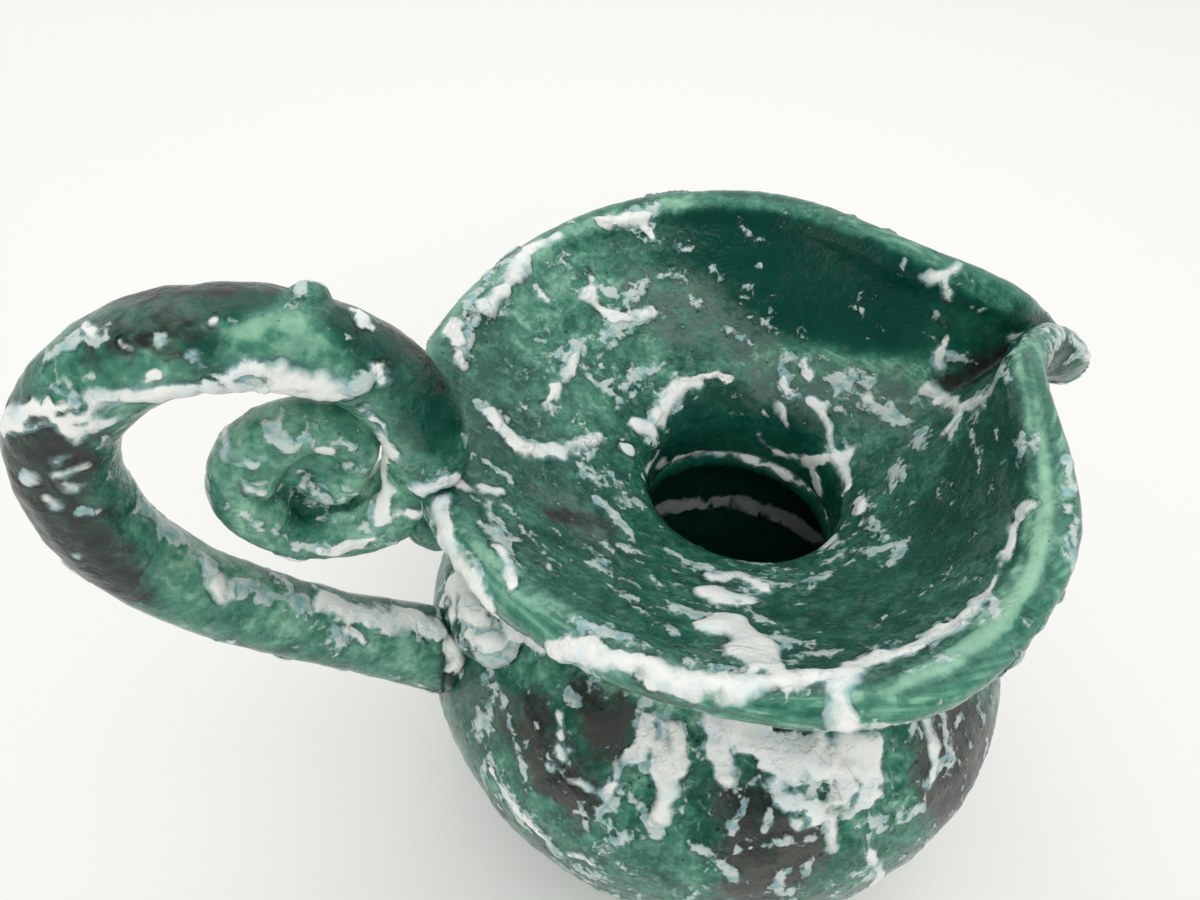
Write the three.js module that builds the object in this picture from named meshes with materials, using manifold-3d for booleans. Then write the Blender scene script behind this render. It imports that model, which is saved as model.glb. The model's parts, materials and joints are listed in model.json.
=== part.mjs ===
// A glazed stoneware ewer: a thrown belly, a neck collar, a funnel mouth pinched into a spout, a rolled rim,
// and a coiled handle that leaves the belly, arches over and ends in a scroll against the rim.
// Millimetres. Z is up, the spout points along +X, and the origin is the centre of the flat base.
import * as THREE from "three";
import { mergeVertices } from "three/addons/utils/BufferGeometryUtils.js";
import Module from "manifold-3d";

const wasm = await Module();
wasm.setup();

// Clay
const WALL = 7; // thickness of the belly and of the funnel
const FLOOR = 9; // thickness of the base
const LUTING_GAP = 0.3; // slip line left between two pieces of clay

// Belly
const BASE_RADIUS = 52;
const BELLY_RADIUS = 96;
const BELLY_HEIGHT = 72.5; // height of the widest ring
const SHOULDER_RADIUS = 40;
const SHOULDER_HEIGHT = 122;

// Neck
const THROAT_RADIUS = 29.5;
const COLLAR_WALL = 8.5;
const COLLAR_HEIGHT = 11;

// Mouth: rises are heights above the foot of the funnel
const MOUTH_RADIUS = 92; // rear half of the rim
const REAR_RISE = 33;
const SIDE_ANGLE = 95; // degrees from the spout, where the round rear half begins
const SIDE_RISE = 43;
const FLANK_ANGLE = 66; // degrees from the spout
const FLANK_RADIUS = 79;
const FLANK_RISE = 52;
const CHEEK_REACH = 57.5; // where the two sides are squeezed together
const CHEEK_HALF_GAP = 25;
const CHEEK_RISE = 58;
const CHANNEL_REACH = 78;
const CHANNEL_HALF_GAP = 10;
const CHANNEL_RISE = 53;
const SPOUT_REACH = 99;
const SPOUT_HALF_WIDTH = 7;
const SPOUT_RISE = 38;
const FLARE = 9; // how far the funnel runs straight up before it opens
const BOWL_FULLNESS = 0.2; // share of the rise reached halfway out: small is a dished bowl
const RIM_WIDTH = 9.6;
const RIM_DEPTH = 9;
const RIM_LAP = 2; // how far the rim coil laps down over the funnel's edge

// Handle, in the plane of the spout
const HANDLE_RADIUS = 9.9;
const ROOT_RADIUS = 13;
const ROOT_RISE = 15; // above the widest ring of the belly
const ROOT_SINK = 14; // how far the coil's path starts inside the belly
const ROOT_ANGLE = 43; // degrees above level at which the coil leaves the belly
const ROOT_PULL = 48; // how far the coil keeps that direction
const HANDLE_REACH = 168;
const REACH_RISE = 18; // height of the furthest point above the rear of the rim
const REACH_PULL = 49; // how far the coil stays upright below it
const TOP_REACH = 136;
const TOP_RISE = 50.5;
const LANDING_RADIUS = 9.8;
const SCROLL_BACK = 23.5; // scroll's middle, behind and above the rear of the rim
const SCROLL_LIFT = 9;
const SCROLL_RADII = [23, 20, 19, 13.5, 5, 6, 3.5]; // path radius at each quarter turn
const SCROLL_COIL_RADII = [LANDING_RADIUS, 8.5, 7.8, 5.8, 4.4, 4.2, 3.8]; // coil radius there

// Wads of clay pressed into the handle's two joints
const ROOT_WAD = [13, 19, 11];
const ROOT_WAD_RISE = 4; // above the top of the handle's root
const RIM_WAD = [9, 13, 10];

// Fineness
const RINGS = 44;
const MOUTH_STEPS = 72;
const FUNNEL_STEPS = 9;
const FAIRING_PASSES = 8;
const ARC_STEPS = 9;
const RIM_STEPS = 9;
const COIL_SIDES = 12;
const LOOP_STEPS = 34;
const SCROLL_STEPS = 42;

const QUARTER_BEND = 0.56; // pull of a curve that is nearly a quarter of an ellipse
const ROOT_TAPER = 0.2; // share of the loop over which the root's flare fades
const LANDING_TAPER = 0.6; // share of the loop from which it thins towards the rim

const degrees = THREE.MathUtils.degToRad;
const lerp = THREE.MathUtils.lerp;
const collarFoot = SHOULDER_HEIGHT + LUTING_GAP;
const funnelFoot = collarFoot + COLLAR_HEIGHT + LUTING_GAP;
const rearHeight = funnelFoot + REAR_RISE;

// Solids and cuts

function solidOf(geometry) {
  const bare = geometry.clone();
  bare.deleteAttribute("normal");
  bare.deleteAttribute("uv");
  const merged = mergeVertices(bare, 1e-4);
  const vertProperties = new Float32Array(merged.attributes.position.array);
  const triVerts = new Uint32Array(merged.index.array);
  return new wasm.Manifold(new wasm.Mesh({ numProp: 3, vertProperties, triVerts }));
}

function geometryOf(solid) {
  const { vertProperties, triVerts } = solid.getMesh();
  const geometry = new THREE.BufferGeometry();
  geometry.setAttribute("position", new THREE.BufferAttribute(vertProperties, 3));
  geometry.setIndex(new THREE.BufferAttribute(triVerts, 1));
  geometry.computeVertexNormals();
  return geometry;
}

function largestBody(solid) {
  return solid.decompose().reduce((best, body) => (body.volume() > best.volume() ? body : best));
}

// A grid of points joined into a closed skin. Rows run round the section and close on themselves.
// Columns either close on themselves too, or end in flat caps.
function skin(rows, closed) {
  const sides = rows[0].length;
  const points = rows.flat();
  const faces = [];
  const last = closed ? rows.length : rows.length - 1;
  for (let row = 0; row < last; row++) {
    for (let side = 0; side < sides; side++) {
      const next = (side + 1) % sides;
      const a = row * sides + side;
      const b = row * sides + next;
      const c = ((row + 1) % rows.length) * sides + next;
      const d = ((row + 1) % rows.length) * sides + side;
      faces.push(a, b, c, a, c, d);
    }
  }
  if (!closed) {
    const end = (rows.length - 1) * sides;
    for (let side = 1; side < sides - 1; side++) {
      faces.push(0, side + 1, side, end, end + side, end + side + 1);
    }
  }
  const geometry = new THREE.BufferGeometry();
  geometry.setFromPoints(points);
  geometry.setIndex(faces);
  geometry.computeVertexNormals();
  return geometry;
}

// A lathe about Z from a profile of (radius, height) points
function turned(profile) {
  const geometry = new THREE.LatheGeometry(profile, RINGS);
  geometry.rotateX(Math.PI / 2);
  return geometry;
}

// Belly

// Half-height of the ellipse whose widest ring is the belly's and which passes through a lesser ring
function ellipseHeight(ringRadius, ringDistance) {
  return ringDistance / Math.sqrt(1 - (ringRadius / BELLY_RADIUS) ** 2);
}

const lowerHeight = ellipseHeight(BASE_RADIUS, BELLY_HEIGHT);
const upperHeight = ellipseHeight(SHOULDER_RADIUS, SHOULDER_HEIGHT - BELLY_HEIGHT);

// Radius of the belly's face at a height. Grow moves the face outwards.
function bellyRadius(height, grow) {
  const half = (height < BELLY_HEIGHT ? lowerHeight : upperHeight) + grow;
  const share = (height - BELLY_HEIGHT) / half;
  return (BELLY_RADIUS + grow) * Math.sqrt(Math.max(0, 1 - share * share));
}

// Points up the belly's face, closer together where it turns
function bellyFace(grow, from, to) {
  const points = [];
  for (let step = 0; step <= 2 * ARC_STEPS; step++) {
    const share = 0.5 - 0.5 * Math.cos((Math.PI * step) / (2 * ARC_STEPS));
    const height = lerp(from, to, share);
    points.push(new THREE.Vector2(bellyRadius(height, grow), height));
  }
  return points;
}

function bellyGeometry() {
  const outside = bellyFace(0, 0, SHOULDER_HEIGHT);
  const inside = bellyFace(-WALL, FLOOR, SHOULDER_HEIGHT)
    .filter((point) => point.x > THROAT_RADIUS)
    .reverse();
  const throat = new THREE.Vector2(THROAT_RADIUS, SHOULDER_HEIGHT);
  const throatFoot = new THREE.Vector2(THROAT_RADIUS, inside[0].y);
  const floor = new THREE.Vector2(0, FLOOR);
  const base = new THREE.Vector2(0, 0);
  return turned([base, ...outside, throat, throatFoot, ...inside, floor]);
}

// The belly's outside as one full solid, to cut what is luted to it
function bellySolid(grow) {
  const top = SHOULDER_HEIGHT + grow;
  const face = bellyFace(grow, 0, SHOULDER_HEIGHT);
  const lid = new THREE.Vector2(0, top);
  const edge = new THREE.Vector2(face.at(-1).x, top);
  return solidOf(turned([new THREE.Vector2(0, 0), ...face, edge, lid]));
}

// Neck collar

function collarGeometry() {
  const outer = THROAT_RADIUS + COLLAR_WALL;
  const top = collarFoot + COLLAR_HEIGHT;
  return turned([
    new THREE.Vector2(THROAT_RADIUS, collarFoot),
    new THREE.Vector2(outer, collarFoot),
    new THREE.Vector2(outer, top),
    new THREE.Vector2(THROAT_RADIUS, top),
    new THREE.Vector2(THROAT_RADIUS, collarFoot),
  ]);
}

// Mouth

// The rim's middle line: drawn out at the spout, squeezed at the cheeks, round at the rear
function rimCurve() {
  const flank = degrees(FLANK_ANGLE);
  const half = [
    [SPOUT_REACH - SPOUT_HALF_WIDTH / 2, SPOUT_HALF_WIDTH, lerp(SPOUT_RISE, CHANNEL_RISE, 0.15)],
    [CHANNEL_REACH, CHANNEL_HALF_GAP, CHANNEL_RISE],
    [CHEEK_REACH, CHEEK_HALF_GAP, CHEEK_RISE],
    [FLANK_RADIUS * Math.cos(flank), FLANK_RADIUS * Math.sin(flank), FLANK_RISE],
  ];
  for (const angle of [SIDE_ANGLE, 120, 150]) {
    const share = (180 - angle) / (180 - SIDE_ANGLE);
    const rise = lerp(REAR_RISE, SIDE_RISE, share * share);
    half.push([MOUTH_RADIUS * Math.cos(degrees(angle)), MOUTH_RADIUS * Math.sin(degrees(angle)), rise]);
  }
  const place = ([x, y, rise]) => new THREE.Vector3(x, y, funnelFoot + rise);
  const mirror = ([x, y, rise]) => place([x, -y, rise]);
  const tip = place([SPOUT_REACH, 0, SPOUT_RISE]);
  const rear = place([-MOUTH_RADIUS, 0, REAR_RISE]);
  const points = [tip, ...half.map(place), rear, ...half.map(mirror).reverse()];
  return new THREE.CatmullRomCurve3(points, true, "centripetal");
}

// The middle of the funnel's wall, as rows round the mouth of points from the throat to the rim
function funnelMiddle() {
  const rim = rimCurve();
  const rows = [];
  for (let step = 0; step < MOUTH_STEPS; step++) {
    const edge = rim.getPointAt(step / MOUTH_STEPS);
    const angle = Math.atan2(edge.y, edge.x);
    const outwards = new THREE.Vector3(Math.cos(angle), Math.sin(angle), 0);
    const foot = outwards.multiplyScalar(THROAT_RADIUS + WALL / 2).setZ(funnelFoot);
    const neck = foot.clone().setZ(funnelFoot + FLARE);
    const bowl = foot.clone().lerp(edge, 0.5);
    bowl.z = lerp(funnelFoot + FLARE, edge.z, BOWL_FULLNESS);
    edge.add(bowl.clone().sub(edge).setLength(RIM_DEPTH / 2 - RIM_LAP));
    const section = new THREE.CubicBezierCurve3(foot, neck, bowl, edge);
    rows.push(section.getPoints(FUNNEL_STEPS));
  }
  return faired(rows);
}

// Eases the valley of the spout between the throat and the rim, which both stay as they are
function faired(rows) {
  let eased = rows;
  for (let pass = 0; pass < FAIRING_PASSES; pass++) {
    eased = eased.map((row, step) => {
      const before = eased[(step + rows.length - 1) % rows.length];
      const after = eased[(step + 1) % rows.length];
      return row.map((point, rank) => {
        if (rank === 0 || rank === FUNNEL_STEPS) return point;
        return before[rank].clone().add(after[rank]).addScaledVector(point, 2).multiplyScalar(0.25);
      });
    });
  }
  return eased;
}

// Unit normals of the wall, away from the axis and downwards
function wallNormals(rows) {
  return rows.map((row, step) => {
    const before = rows[(step + rows.length - 1) % rows.length];
    const after = rows[(step + 1) % rows.length];
    return row.map((point, rank) => {
      const round = after[rank].clone().sub(before[rank]);
      const low = row[Math.max(rank - 1, 0)];
      const high = row[Math.min(rank + 1, row.length - 1)];
      const normal = round.cross(high.clone().sub(low)).normalize();
      return rank === 0 ? normal.setZ(0).normalize() : normal;
    });
  });
}

const middle = funnelMiddle();
const normals = wallNormals(middle);

// Direction in which the wall runs out at the rim
function wallEnd(row) {
  return row.at(-1).clone().sub(row.at(-2)).normalize();
}

// The funnel's wall. Grow thickens it on every side, to cut what is luted to it.
function funnelGeometry(grow) {
  const half = WALL / 2 + grow;
  const rows = middle.map((row, step) => {
    const centre = row.map((point) => point.clone());
    centre[0].z -= grow;
    centre.at(-1).addScaledVector(wallEnd(row), grow);
    const moved = (point, rank, by) => point.clone().addScaledVector(normals[step][rank], by);
    const face = (side) => centre.map((point, rank) => moved(point, rank, side * half));
    return [...face(-1), ...face(1).reverse()];
  });
  return skin(rows, true);
}

// A bun-shaped coil pressed over the funnel's edge
function rimGeometry(grow) {
  const rows = middle.map((row, step) => {
    const edge = row.at(-1);
    const across = normals[step].at(-1);
    const up = wallEnd(row);
    const seat = edge.clone().addScaledVector(up, -RIM_LAP - grow);
    const section = [];
    for (let turn = 0; turn <= RIM_STEPS; turn++) {
      const angle = (Math.PI * turn) / RIM_STEPS;
      const sideways = -Math.cos(angle) * (RIM_WIDTH / 2 + grow);
      const upwards = Math.sin(angle) * (RIM_DEPTH + 2 * grow);
      section.push(seat.clone().addScaledVector(across, sideways).addScaledVector(up, upwards));
    }
    return section;
  });
  return skin(rows, true);
}

const funnelCut = solidOf(funnelGeometry(LUTING_GAP));

function rimCoilGeometry() {
  return geometryOf(largestBody(solidOf(rimGeometry(0)).subtract(funnelCut)));
}

// Handle

// The loop from the belly up and over to the rim, in three curves that meet smoothly
function loopCurve() {
  const at = (x, z) => new THREE.Vector3(x, 0, z);
  const rootHeight = BELLY_HEIGHT + ROOT_RISE;
  const outwards = at(-Math.cos(degrees(ROOT_ANGLE)), Math.sin(degrees(ROOT_ANGLE)));
  const root = at(-bellyRadius(rootHeight, 0), rootHeight).addScaledVector(outwards, -ROOT_SINK);
  const furthest = at(-HANDLE_REACH, rearHeight + REACH_RISE);
  const top = at(-TOP_REACH, rearHeight + TOP_RISE);
  const landing = scrollPoint(0);
  const rising = new THREE.CubicBezierCurve3(
    root,
    root.clone().addScaledVector(outwards, ROOT_PULL),
    at(furthest.x, furthest.z - REACH_PULL),
    furthest,
  );
  const arching = new THREE.CubicBezierCurve3(
    furthest,
    at(furthest.x, lerp(furthest.z, top.z, QUARTER_BEND)),
    at(lerp(top.x, furthest.x, QUARTER_BEND), top.z),
    top,
  );
  const falling = new THREE.CubicBezierCurve3(
    top,
    at(lerp(top.x, landing.x, QUARTER_BEND), top.z),
    at(landing.x, lerp(landing.z, top.z, QUARTER_BEND)),
    landing,
  );
  const path = new THREE.CurvePath();
  [rising, arching, falling].forEach((curve) => path.add(curve));
  return path;
}

// A value given at each quarter turn of the scroll, smoothly in between. Share runs from 0 to 1.
function alongScroll(values, share) {
  const curve = new THREE.SplineCurve(values.map((value, quarter) => new THREE.Vector2(quarter, value)));
  return curve.getPoint(share);
}

// A point of the scroll, which winds on from the landing, down, back and inwards
function scrollPoint(share) {
  const { x: quarter, y: radius } = alongScroll(SCROLL_RADII, share);
  const angle = (-quarter * Math.PI) / 2;
  const x = -MOUTH_RADIUS - SCROLL_BACK + radius * Math.cos(angle);
  const z = rearHeight + SCROLL_LIFT + radius * Math.sin(angle);
  return new THREE.Vector3(x, 0, z);
}

// Rings of a round coil along a path in the XZ plane
function coilRings(points, radii) {
  return points.map((point, rank) => {
    const ahead = points[Math.min(rank + 1, points.length - 1)];
    const behind = points[Math.max(rank - 1, 0)];
    const along = ahead.clone().sub(behind).normalize();
    const sideways = new THREE.Vector3(0, 1, 0);
    const outwards = sideways.clone().cross(along);
    const ring = [];
    for (let side = 0; side < COIL_SIDES; side++) {
      const angle = (2 * Math.PI * side) / COIL_SIDES;
      ring.push(
        point
          .clone()
          .addScaledVector(outwards, radii[rank] * Math.cos(angle))
          .addScaledVector(sideways, radii[rank] * Math.sin(angle)),
      );
    }
    return ring;
  });
}

function coilSolid(grow) {
  const points = loopCurve().getSpacedPoints(LOOP_STEPS);
  const radii = points.map((_, rank) => {
    const share = rank / LOOP_STEPS;
    const rootEase = Math.max(0, 1 - share / ROOT_TAPER);
    const landingEase = Math.max(0, (share - LANDING_TAPER) / (1 - LANDING_TAPER));
    return lerp(lerp(HANDLE_RADIUS, ROOT_RADIUS, rootEase), LANDING_RADIUS, landingEase) + grow;
  });
  for (let step = 1; step <= SCROLL_STEPS; step++) {
    const share = step / SCROLL_STEPS;
    points.push(scrollPoint(share));
    radii.push(alongScroll(SCROLL_COIL_RADII, share).y + grow);
  }
  return solidOf(skin(coilRings(points, radii), false));
}

const bellyCut = bellySolid(LUTING_GAP);
const mouthCut = funnelCut.add(solidOf(rimGeometry(LUTING_GAP)));

function handleGeometry() {
  return geometryOf(largestBody(coilSolid(0).subtract(bellyCut).subtract(mouthCut)));
}

// Wads

function wadSolid(radii, place) {
  const geometry = new THREE.SphereGeometry(1, 16, 10);
  geometry.scale(...radii);
  geometry.translate(place.x, place.y, place.z);
  return solidOf(geometry);
}

function rootWadGeometry() {
  const height = BELLY_HEIGHT + ROOT_RISE + ROOT_RADIUS + ROOT_WAD_RISE;
  const wad = wadSolid(ROOT_WAD, new THREE.Vector3(-bellyRadius(height, 0), 0, height));
  return geometryOf(largestBody(wad.subtract(bellyCut).subtract(coilSolid(LUTING_GAP))));
}

function rimWadGeometry() {
  const wad = wadSolid(RIM_WAD, new THREE.Vector3(-MOUTH_RADIUS, 0, rearHeight - RIM_WAD[2]));
  return geometryOf(largestBody(wad.subtract(mouthCut).subtract(coilSolid(LUTING_GAP))));
}

// The ewer

const greenGlaze = new THREE.MeshStandardMaterial({ color: 0x1f5a45, roughness: 0.3, metalness: 0 });
const paleGlaze = new THREE.MeshStandardMaterial({ color: 0x6fb193, roughness: 0.28, metalness: 0 });
const whiteGlaze = new THREE.MeshStandardMaterial({ color: 0xdfe3df, roughness: 0.4, metalness: 0 });

const ewer = new THREE.Group();
ewer.name = "ewer";

function place(name, geometry, material) {
  const mesh = new THREE.Mesh(geometry, material);
  mesh.name = name;
  ewer.add(mesh);
}

place("belly", bellyGeometry(), greenGlaze);
place("neck_collar", collarGeometry(), greenGlaze);
place("mouth_funnel", funnelGeometry(0), greenGlaze);
place("rim_coil", rimCoilGeometry(), paleGlaze);
place("handle_coil", handleGeometry(), greenGlaze);
place("root_wad", rootWadGeometry(), whiteGlaze);
place("rim_wad", rimWadGeometry(), whiteGlaze);

export default ewer;
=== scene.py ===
"""Looks of a hand-built pottery ewer: green glaze under a thick white one that has crawled into islands."""

import json
import math

import bpy
import numpy as np
from mathutils import Matrix, Vector
from mathutils.bvhtree import BVHTree
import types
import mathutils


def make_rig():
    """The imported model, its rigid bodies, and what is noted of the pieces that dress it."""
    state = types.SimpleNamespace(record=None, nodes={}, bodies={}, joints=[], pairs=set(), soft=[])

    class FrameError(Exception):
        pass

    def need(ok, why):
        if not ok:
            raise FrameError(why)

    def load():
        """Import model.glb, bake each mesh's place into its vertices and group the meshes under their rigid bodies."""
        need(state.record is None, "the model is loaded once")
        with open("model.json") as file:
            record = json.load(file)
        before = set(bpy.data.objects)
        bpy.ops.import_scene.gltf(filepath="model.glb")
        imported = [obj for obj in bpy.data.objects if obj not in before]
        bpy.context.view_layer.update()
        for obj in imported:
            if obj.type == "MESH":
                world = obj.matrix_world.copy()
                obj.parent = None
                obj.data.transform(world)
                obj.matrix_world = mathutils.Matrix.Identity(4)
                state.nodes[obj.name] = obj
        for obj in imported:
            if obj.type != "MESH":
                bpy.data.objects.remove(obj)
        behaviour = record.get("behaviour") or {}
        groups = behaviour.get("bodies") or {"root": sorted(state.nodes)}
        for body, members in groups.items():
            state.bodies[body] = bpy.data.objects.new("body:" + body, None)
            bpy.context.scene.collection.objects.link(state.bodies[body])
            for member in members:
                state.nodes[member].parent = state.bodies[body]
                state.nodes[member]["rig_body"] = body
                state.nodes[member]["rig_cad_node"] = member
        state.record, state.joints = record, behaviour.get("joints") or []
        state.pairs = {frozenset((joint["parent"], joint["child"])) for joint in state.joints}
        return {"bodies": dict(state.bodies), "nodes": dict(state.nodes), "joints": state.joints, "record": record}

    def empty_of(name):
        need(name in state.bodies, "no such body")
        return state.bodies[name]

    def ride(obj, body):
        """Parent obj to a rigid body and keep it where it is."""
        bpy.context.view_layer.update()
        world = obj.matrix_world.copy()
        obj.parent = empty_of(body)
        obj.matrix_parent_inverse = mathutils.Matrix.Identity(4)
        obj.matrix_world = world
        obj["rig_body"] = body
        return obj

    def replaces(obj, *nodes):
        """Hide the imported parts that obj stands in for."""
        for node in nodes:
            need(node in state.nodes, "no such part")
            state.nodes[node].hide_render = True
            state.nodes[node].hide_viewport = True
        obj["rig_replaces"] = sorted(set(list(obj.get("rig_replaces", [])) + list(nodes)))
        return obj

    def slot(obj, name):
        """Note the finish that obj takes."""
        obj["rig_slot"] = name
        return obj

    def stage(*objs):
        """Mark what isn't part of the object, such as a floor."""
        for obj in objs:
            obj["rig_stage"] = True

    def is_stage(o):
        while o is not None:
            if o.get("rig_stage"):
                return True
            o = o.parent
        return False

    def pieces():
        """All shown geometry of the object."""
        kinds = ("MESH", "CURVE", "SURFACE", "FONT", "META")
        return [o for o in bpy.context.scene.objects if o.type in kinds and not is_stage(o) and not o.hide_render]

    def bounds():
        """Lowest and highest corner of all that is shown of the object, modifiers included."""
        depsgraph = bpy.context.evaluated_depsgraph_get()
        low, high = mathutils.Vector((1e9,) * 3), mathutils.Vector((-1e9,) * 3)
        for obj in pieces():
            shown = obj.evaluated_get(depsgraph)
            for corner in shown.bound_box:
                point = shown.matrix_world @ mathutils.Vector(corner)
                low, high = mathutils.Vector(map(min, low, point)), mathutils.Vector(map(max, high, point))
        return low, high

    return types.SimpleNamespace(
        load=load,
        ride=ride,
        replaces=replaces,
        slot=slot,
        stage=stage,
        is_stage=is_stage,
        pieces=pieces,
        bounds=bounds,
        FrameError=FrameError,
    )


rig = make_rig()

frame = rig.load()
CAD_LOW, CAD_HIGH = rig.bounds()

bl_info = {
    "name": "Glazed Ewer",
    "version": (1, 0, 0),
    "blender": (4, 5, 0),
    "location": "View3D > Sidebar > Ewer",
    "description": "Dresses the ewer's solids in crawled pottery glaze and sets a plain stage",
    "category": "Object",
}

MM = 0.001
SIZE_FILE = "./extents.json"

# Camera of the photo, in the part's frame.
EYE = (-0.1114, -0.1579, 0.333)
EYE_RIGHT = (0.94845, -0.30943, 0.0690)
EYE_UP = (0.17227, 0.68559, 0.7072)
EYE_BACK = (-0.26624, -0.65895, 0.7037)
SENSOR = 36.0
LENS = 27.225
IMAGE = (1200, 900)
CLIP_START = 0.01

# Stage: the lamp's place and aim, and a sky that is dim or bright on the viewer's side.
LAMP_PLACE = (0.05, 0.2)
LAMP_AIM = (0, 0, 0.12)
FLOOR_ROUGHNESS = 0.75
SKY_COLOUR = (1.0, 1.0, 0.985, 1)
SKY_SEEN = 0.96
VIEWER_SIDE = (-0.25, -0.7, 0.65)
DIM_FADE = (0.0, 0.6)
FRONT_FADE = (0.92, 0.985)

# Walls inside the pot and the mouth, in millimetres.
BELLY_MIDDLE = 70.0
BELLY_REACH = 93.0
THROAT_FOOT = 121.0
THROAT_REACH = 34.0
THROAT_TOP = 138.0
MOUTH_RADIUS = 48.0
THINNED_INSIDE = 0.92

# Lump of clay in the scroll's eye: picture point, and half-widths in metres.
SCROLL_EYE = (318, 478)
SCROLL_HEART = (0.010, 0.0016, 0.010)

# Strokes: picture points between two rays, then lengths in millimetres.
STROKE_STEP = 7.0
STROKE_BREAK = 22.0
STROKE_MARGIN = 30.0
FAR_OFF = 1e3
FAR_SIDE = 9.0
FAR_SIDE_FADE = (0.25, -0.45)
AWAY_FADE = (0.12, -0.15)
TINY = 1e-6

# Whole numbers that scramble a lattice cell into a slope, and the noise's gain and finer layers.
CELL_PRIMES = (73856093, 19349663, 83492791)
SEED_PRIME = 2654435761
SCRAMBLE = 73244475
WORD = 0xFFFFFFFF
SLOPE_BITS = 1023
NOISE_GAIN = 1.6
LAYER_SHIFT = 7.3
LAYER_FALL = 0.55

# Noise in the relief: size of the largest lumps in millimetres, layers, seed.
WARP = (13, 2, 40)
SHAKE = (4.5, 2, 60)
SWELL = (8, 2, 3)
RAGGED = (4.2, 2, 5)
TORN = (2.0, 1, 7)
PINCH = (6.5, 1, 13)
ISLANDS = (21, 3, 23)
TONE_DRIFT = (24, 2, 29)
DARK_EDGE = (12, 3, 31)
HAZE_EDGE = (9, 3, 33)
WILD_DARK = (36, 2, 37)
PALE_BREAK = (8, 2, 43)
LUMPS = (17, 2, 51)
CRUST = (5.5, 2, 53)
WHITE_GRAIN = (5, 2, 57)
FLAKE_GRAIN = (3.2, 1, 59)
FLAKE_LAYERS = (3, 11)
PATCH_LAYERS = (2, 17)
PATCH_SIZE = 4.0
SWIRL_WARP = 5.0
WANDER_WARP = 1.9
WANDER_SHAKE = 1.1

# Noise in the colours that swings about zero: lumps in a metre, detail, distortion, width of the swing.
BROAD = (60, 2, 0.5, 0.6)
MIDDLE = (170, 3, 0.8, 0.8)
FINE = (620, 3, 0.4, 0.44)
EDGE_RAGS = (480, 4, 0.6, 4.4)
CLOUDS = (190, 5, 0.8, 16.0)
STREAKS = (1.0, 2, 0.0, 0.7)

# Noise that makes a mask: lumps in a metre, detail, distortion, where the mask starts, where it is full.
VEILS = (300, 5, 1.0, 0.52, 0.74)
SOFT_EDGES = (75, 2, 0.5, 0.42, 0.60)
FRINGE_GAPS = (120, 2, 0.0, 0.36, 0.60)
LINE_GAPS = (190, 2, 0.0, 0.42, 0.55)
IRON_SPOTS = (260, 4, 0.0, 0.44, 0.62)
ASH_SPOTS = (70, 4, 0.6, 0.36, 0.58)
HAZE_SPECKS = (330, 4, 0.8, 0.38, 0.56)
BLUE_SPOTS = (300, 3, 0.0, 0.34, 0.56)
COOL_SPOTS = (130, 2, 0.0, 0.45, 0.7)

# Plain noise: lumps in a metre, detail, distortion.
PEEL = (900, 2, 0.0)
WAVES = (300, 2, 0.0)
SHEEN_SPOTS = (240, 3, 0.0)

# Masks by a value: where each starts, where it is full.
CRISP_WHITE = (-0.15, 0.6)
SOFT_WHITE = (-0.7, 2.0)
FRINGE_FADE = (-1.1, 0.3)
MILK_FADE = (-0.1, 0.9)
LINE_OUTER = (-0.95, -0.45)
LINE_INNER = (0.1, -0.3)
RIM_OUTER = (-0.8, -0.4)
RIM_INNER = (0.0, -0.3)
PIT_FADE = (0.0, 0.08)
PIT_CHOICE = (0.86, 0.90)
DARK_FADE = (-3.0, 4.0)
HAZE_FADE = (-4.0, 5.0)
PALE_FADE = (0.7, 0.95)
VEIL_TONES = (0.2, 0.6)
STREAK_TONES = (0.5, 0.75)
STREAK_CALM = (0.2, 0.6)
LINE_TONES = (0.6, 0.85)

# Shares of each effect; a pair is a factor and what is added to it.
CALM_MOTTLE = (-0.6, 1.0)
PALE_MOTTLE = -0.65
VEIL_SHARE = 0.55
COVER_RAGS = 0.4
RIM_SHARE = 0.35
HAZE_CLOUDS = 0.8
HAZE_SPECKLED = (0.6, 0.3)
DARK_SHARE = 0.95
PIT_SHARE = (-0.7, 0.7)
LINE_SHARE = (-0.7, 0.9)
MILK_SHARE = 0.8
FRINGE_SHARE = 0.7

# Gloss and fine bumps; the bump's depth is in metres.
SPECULAR = 0.4
SPOT_ROUGHNESS = (0.16, 0.12)
WHITE_ROUGHNESS = 0.16
DARK_ROUGHNESS = 0.10
CALM_GLOSS = (-0.65, 1.0)
PIT_CELLS = 420
PIT_DEPTH = 0.8
PEEL_HEIGHT = 0.5
WAVE_HEIGHT = 0.9
BUMP_DEPTH = 0.0007
EDGE_LIFTS = {"Milk": 0.7, "White": 0.7, "Line": -0.6}

# Tones at which the green passes from deep to pale.
BOTTLE_STOP = 0.28
GREEN_STOP = 0.50
LEAF_STOP = 0.72

# White glaze: bounds of thin runs and pools in millimetres, then how its edge and islands vary.
THIN_RUN = 2.5
POOL = 4.0
POOL_UNEVEN = 0.3
RUN_UNEVEN = 0.6
RUN_PINCH = 1.1
RUN_LOSS = 0.45
RAG_LEAST = 0.3
RAG_SHARE = 0.3
RAG_THIN = 0.25
TORN_SHARE = 0.25
NO_COVER = -6.0
WHITE_START = 0.3
EDGE_SOFTNESS = 1.8
WHITE_UNEVEN = 0.3
ISLAND_STRETCH = (1.0, 1.0, 0.6)
ISLAND_LIMIT = 0.24
ISLAND_FRONT = 0.9
ISLAND_SLOPE = 15
ISLAND_HEIGHT = 1.3

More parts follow.
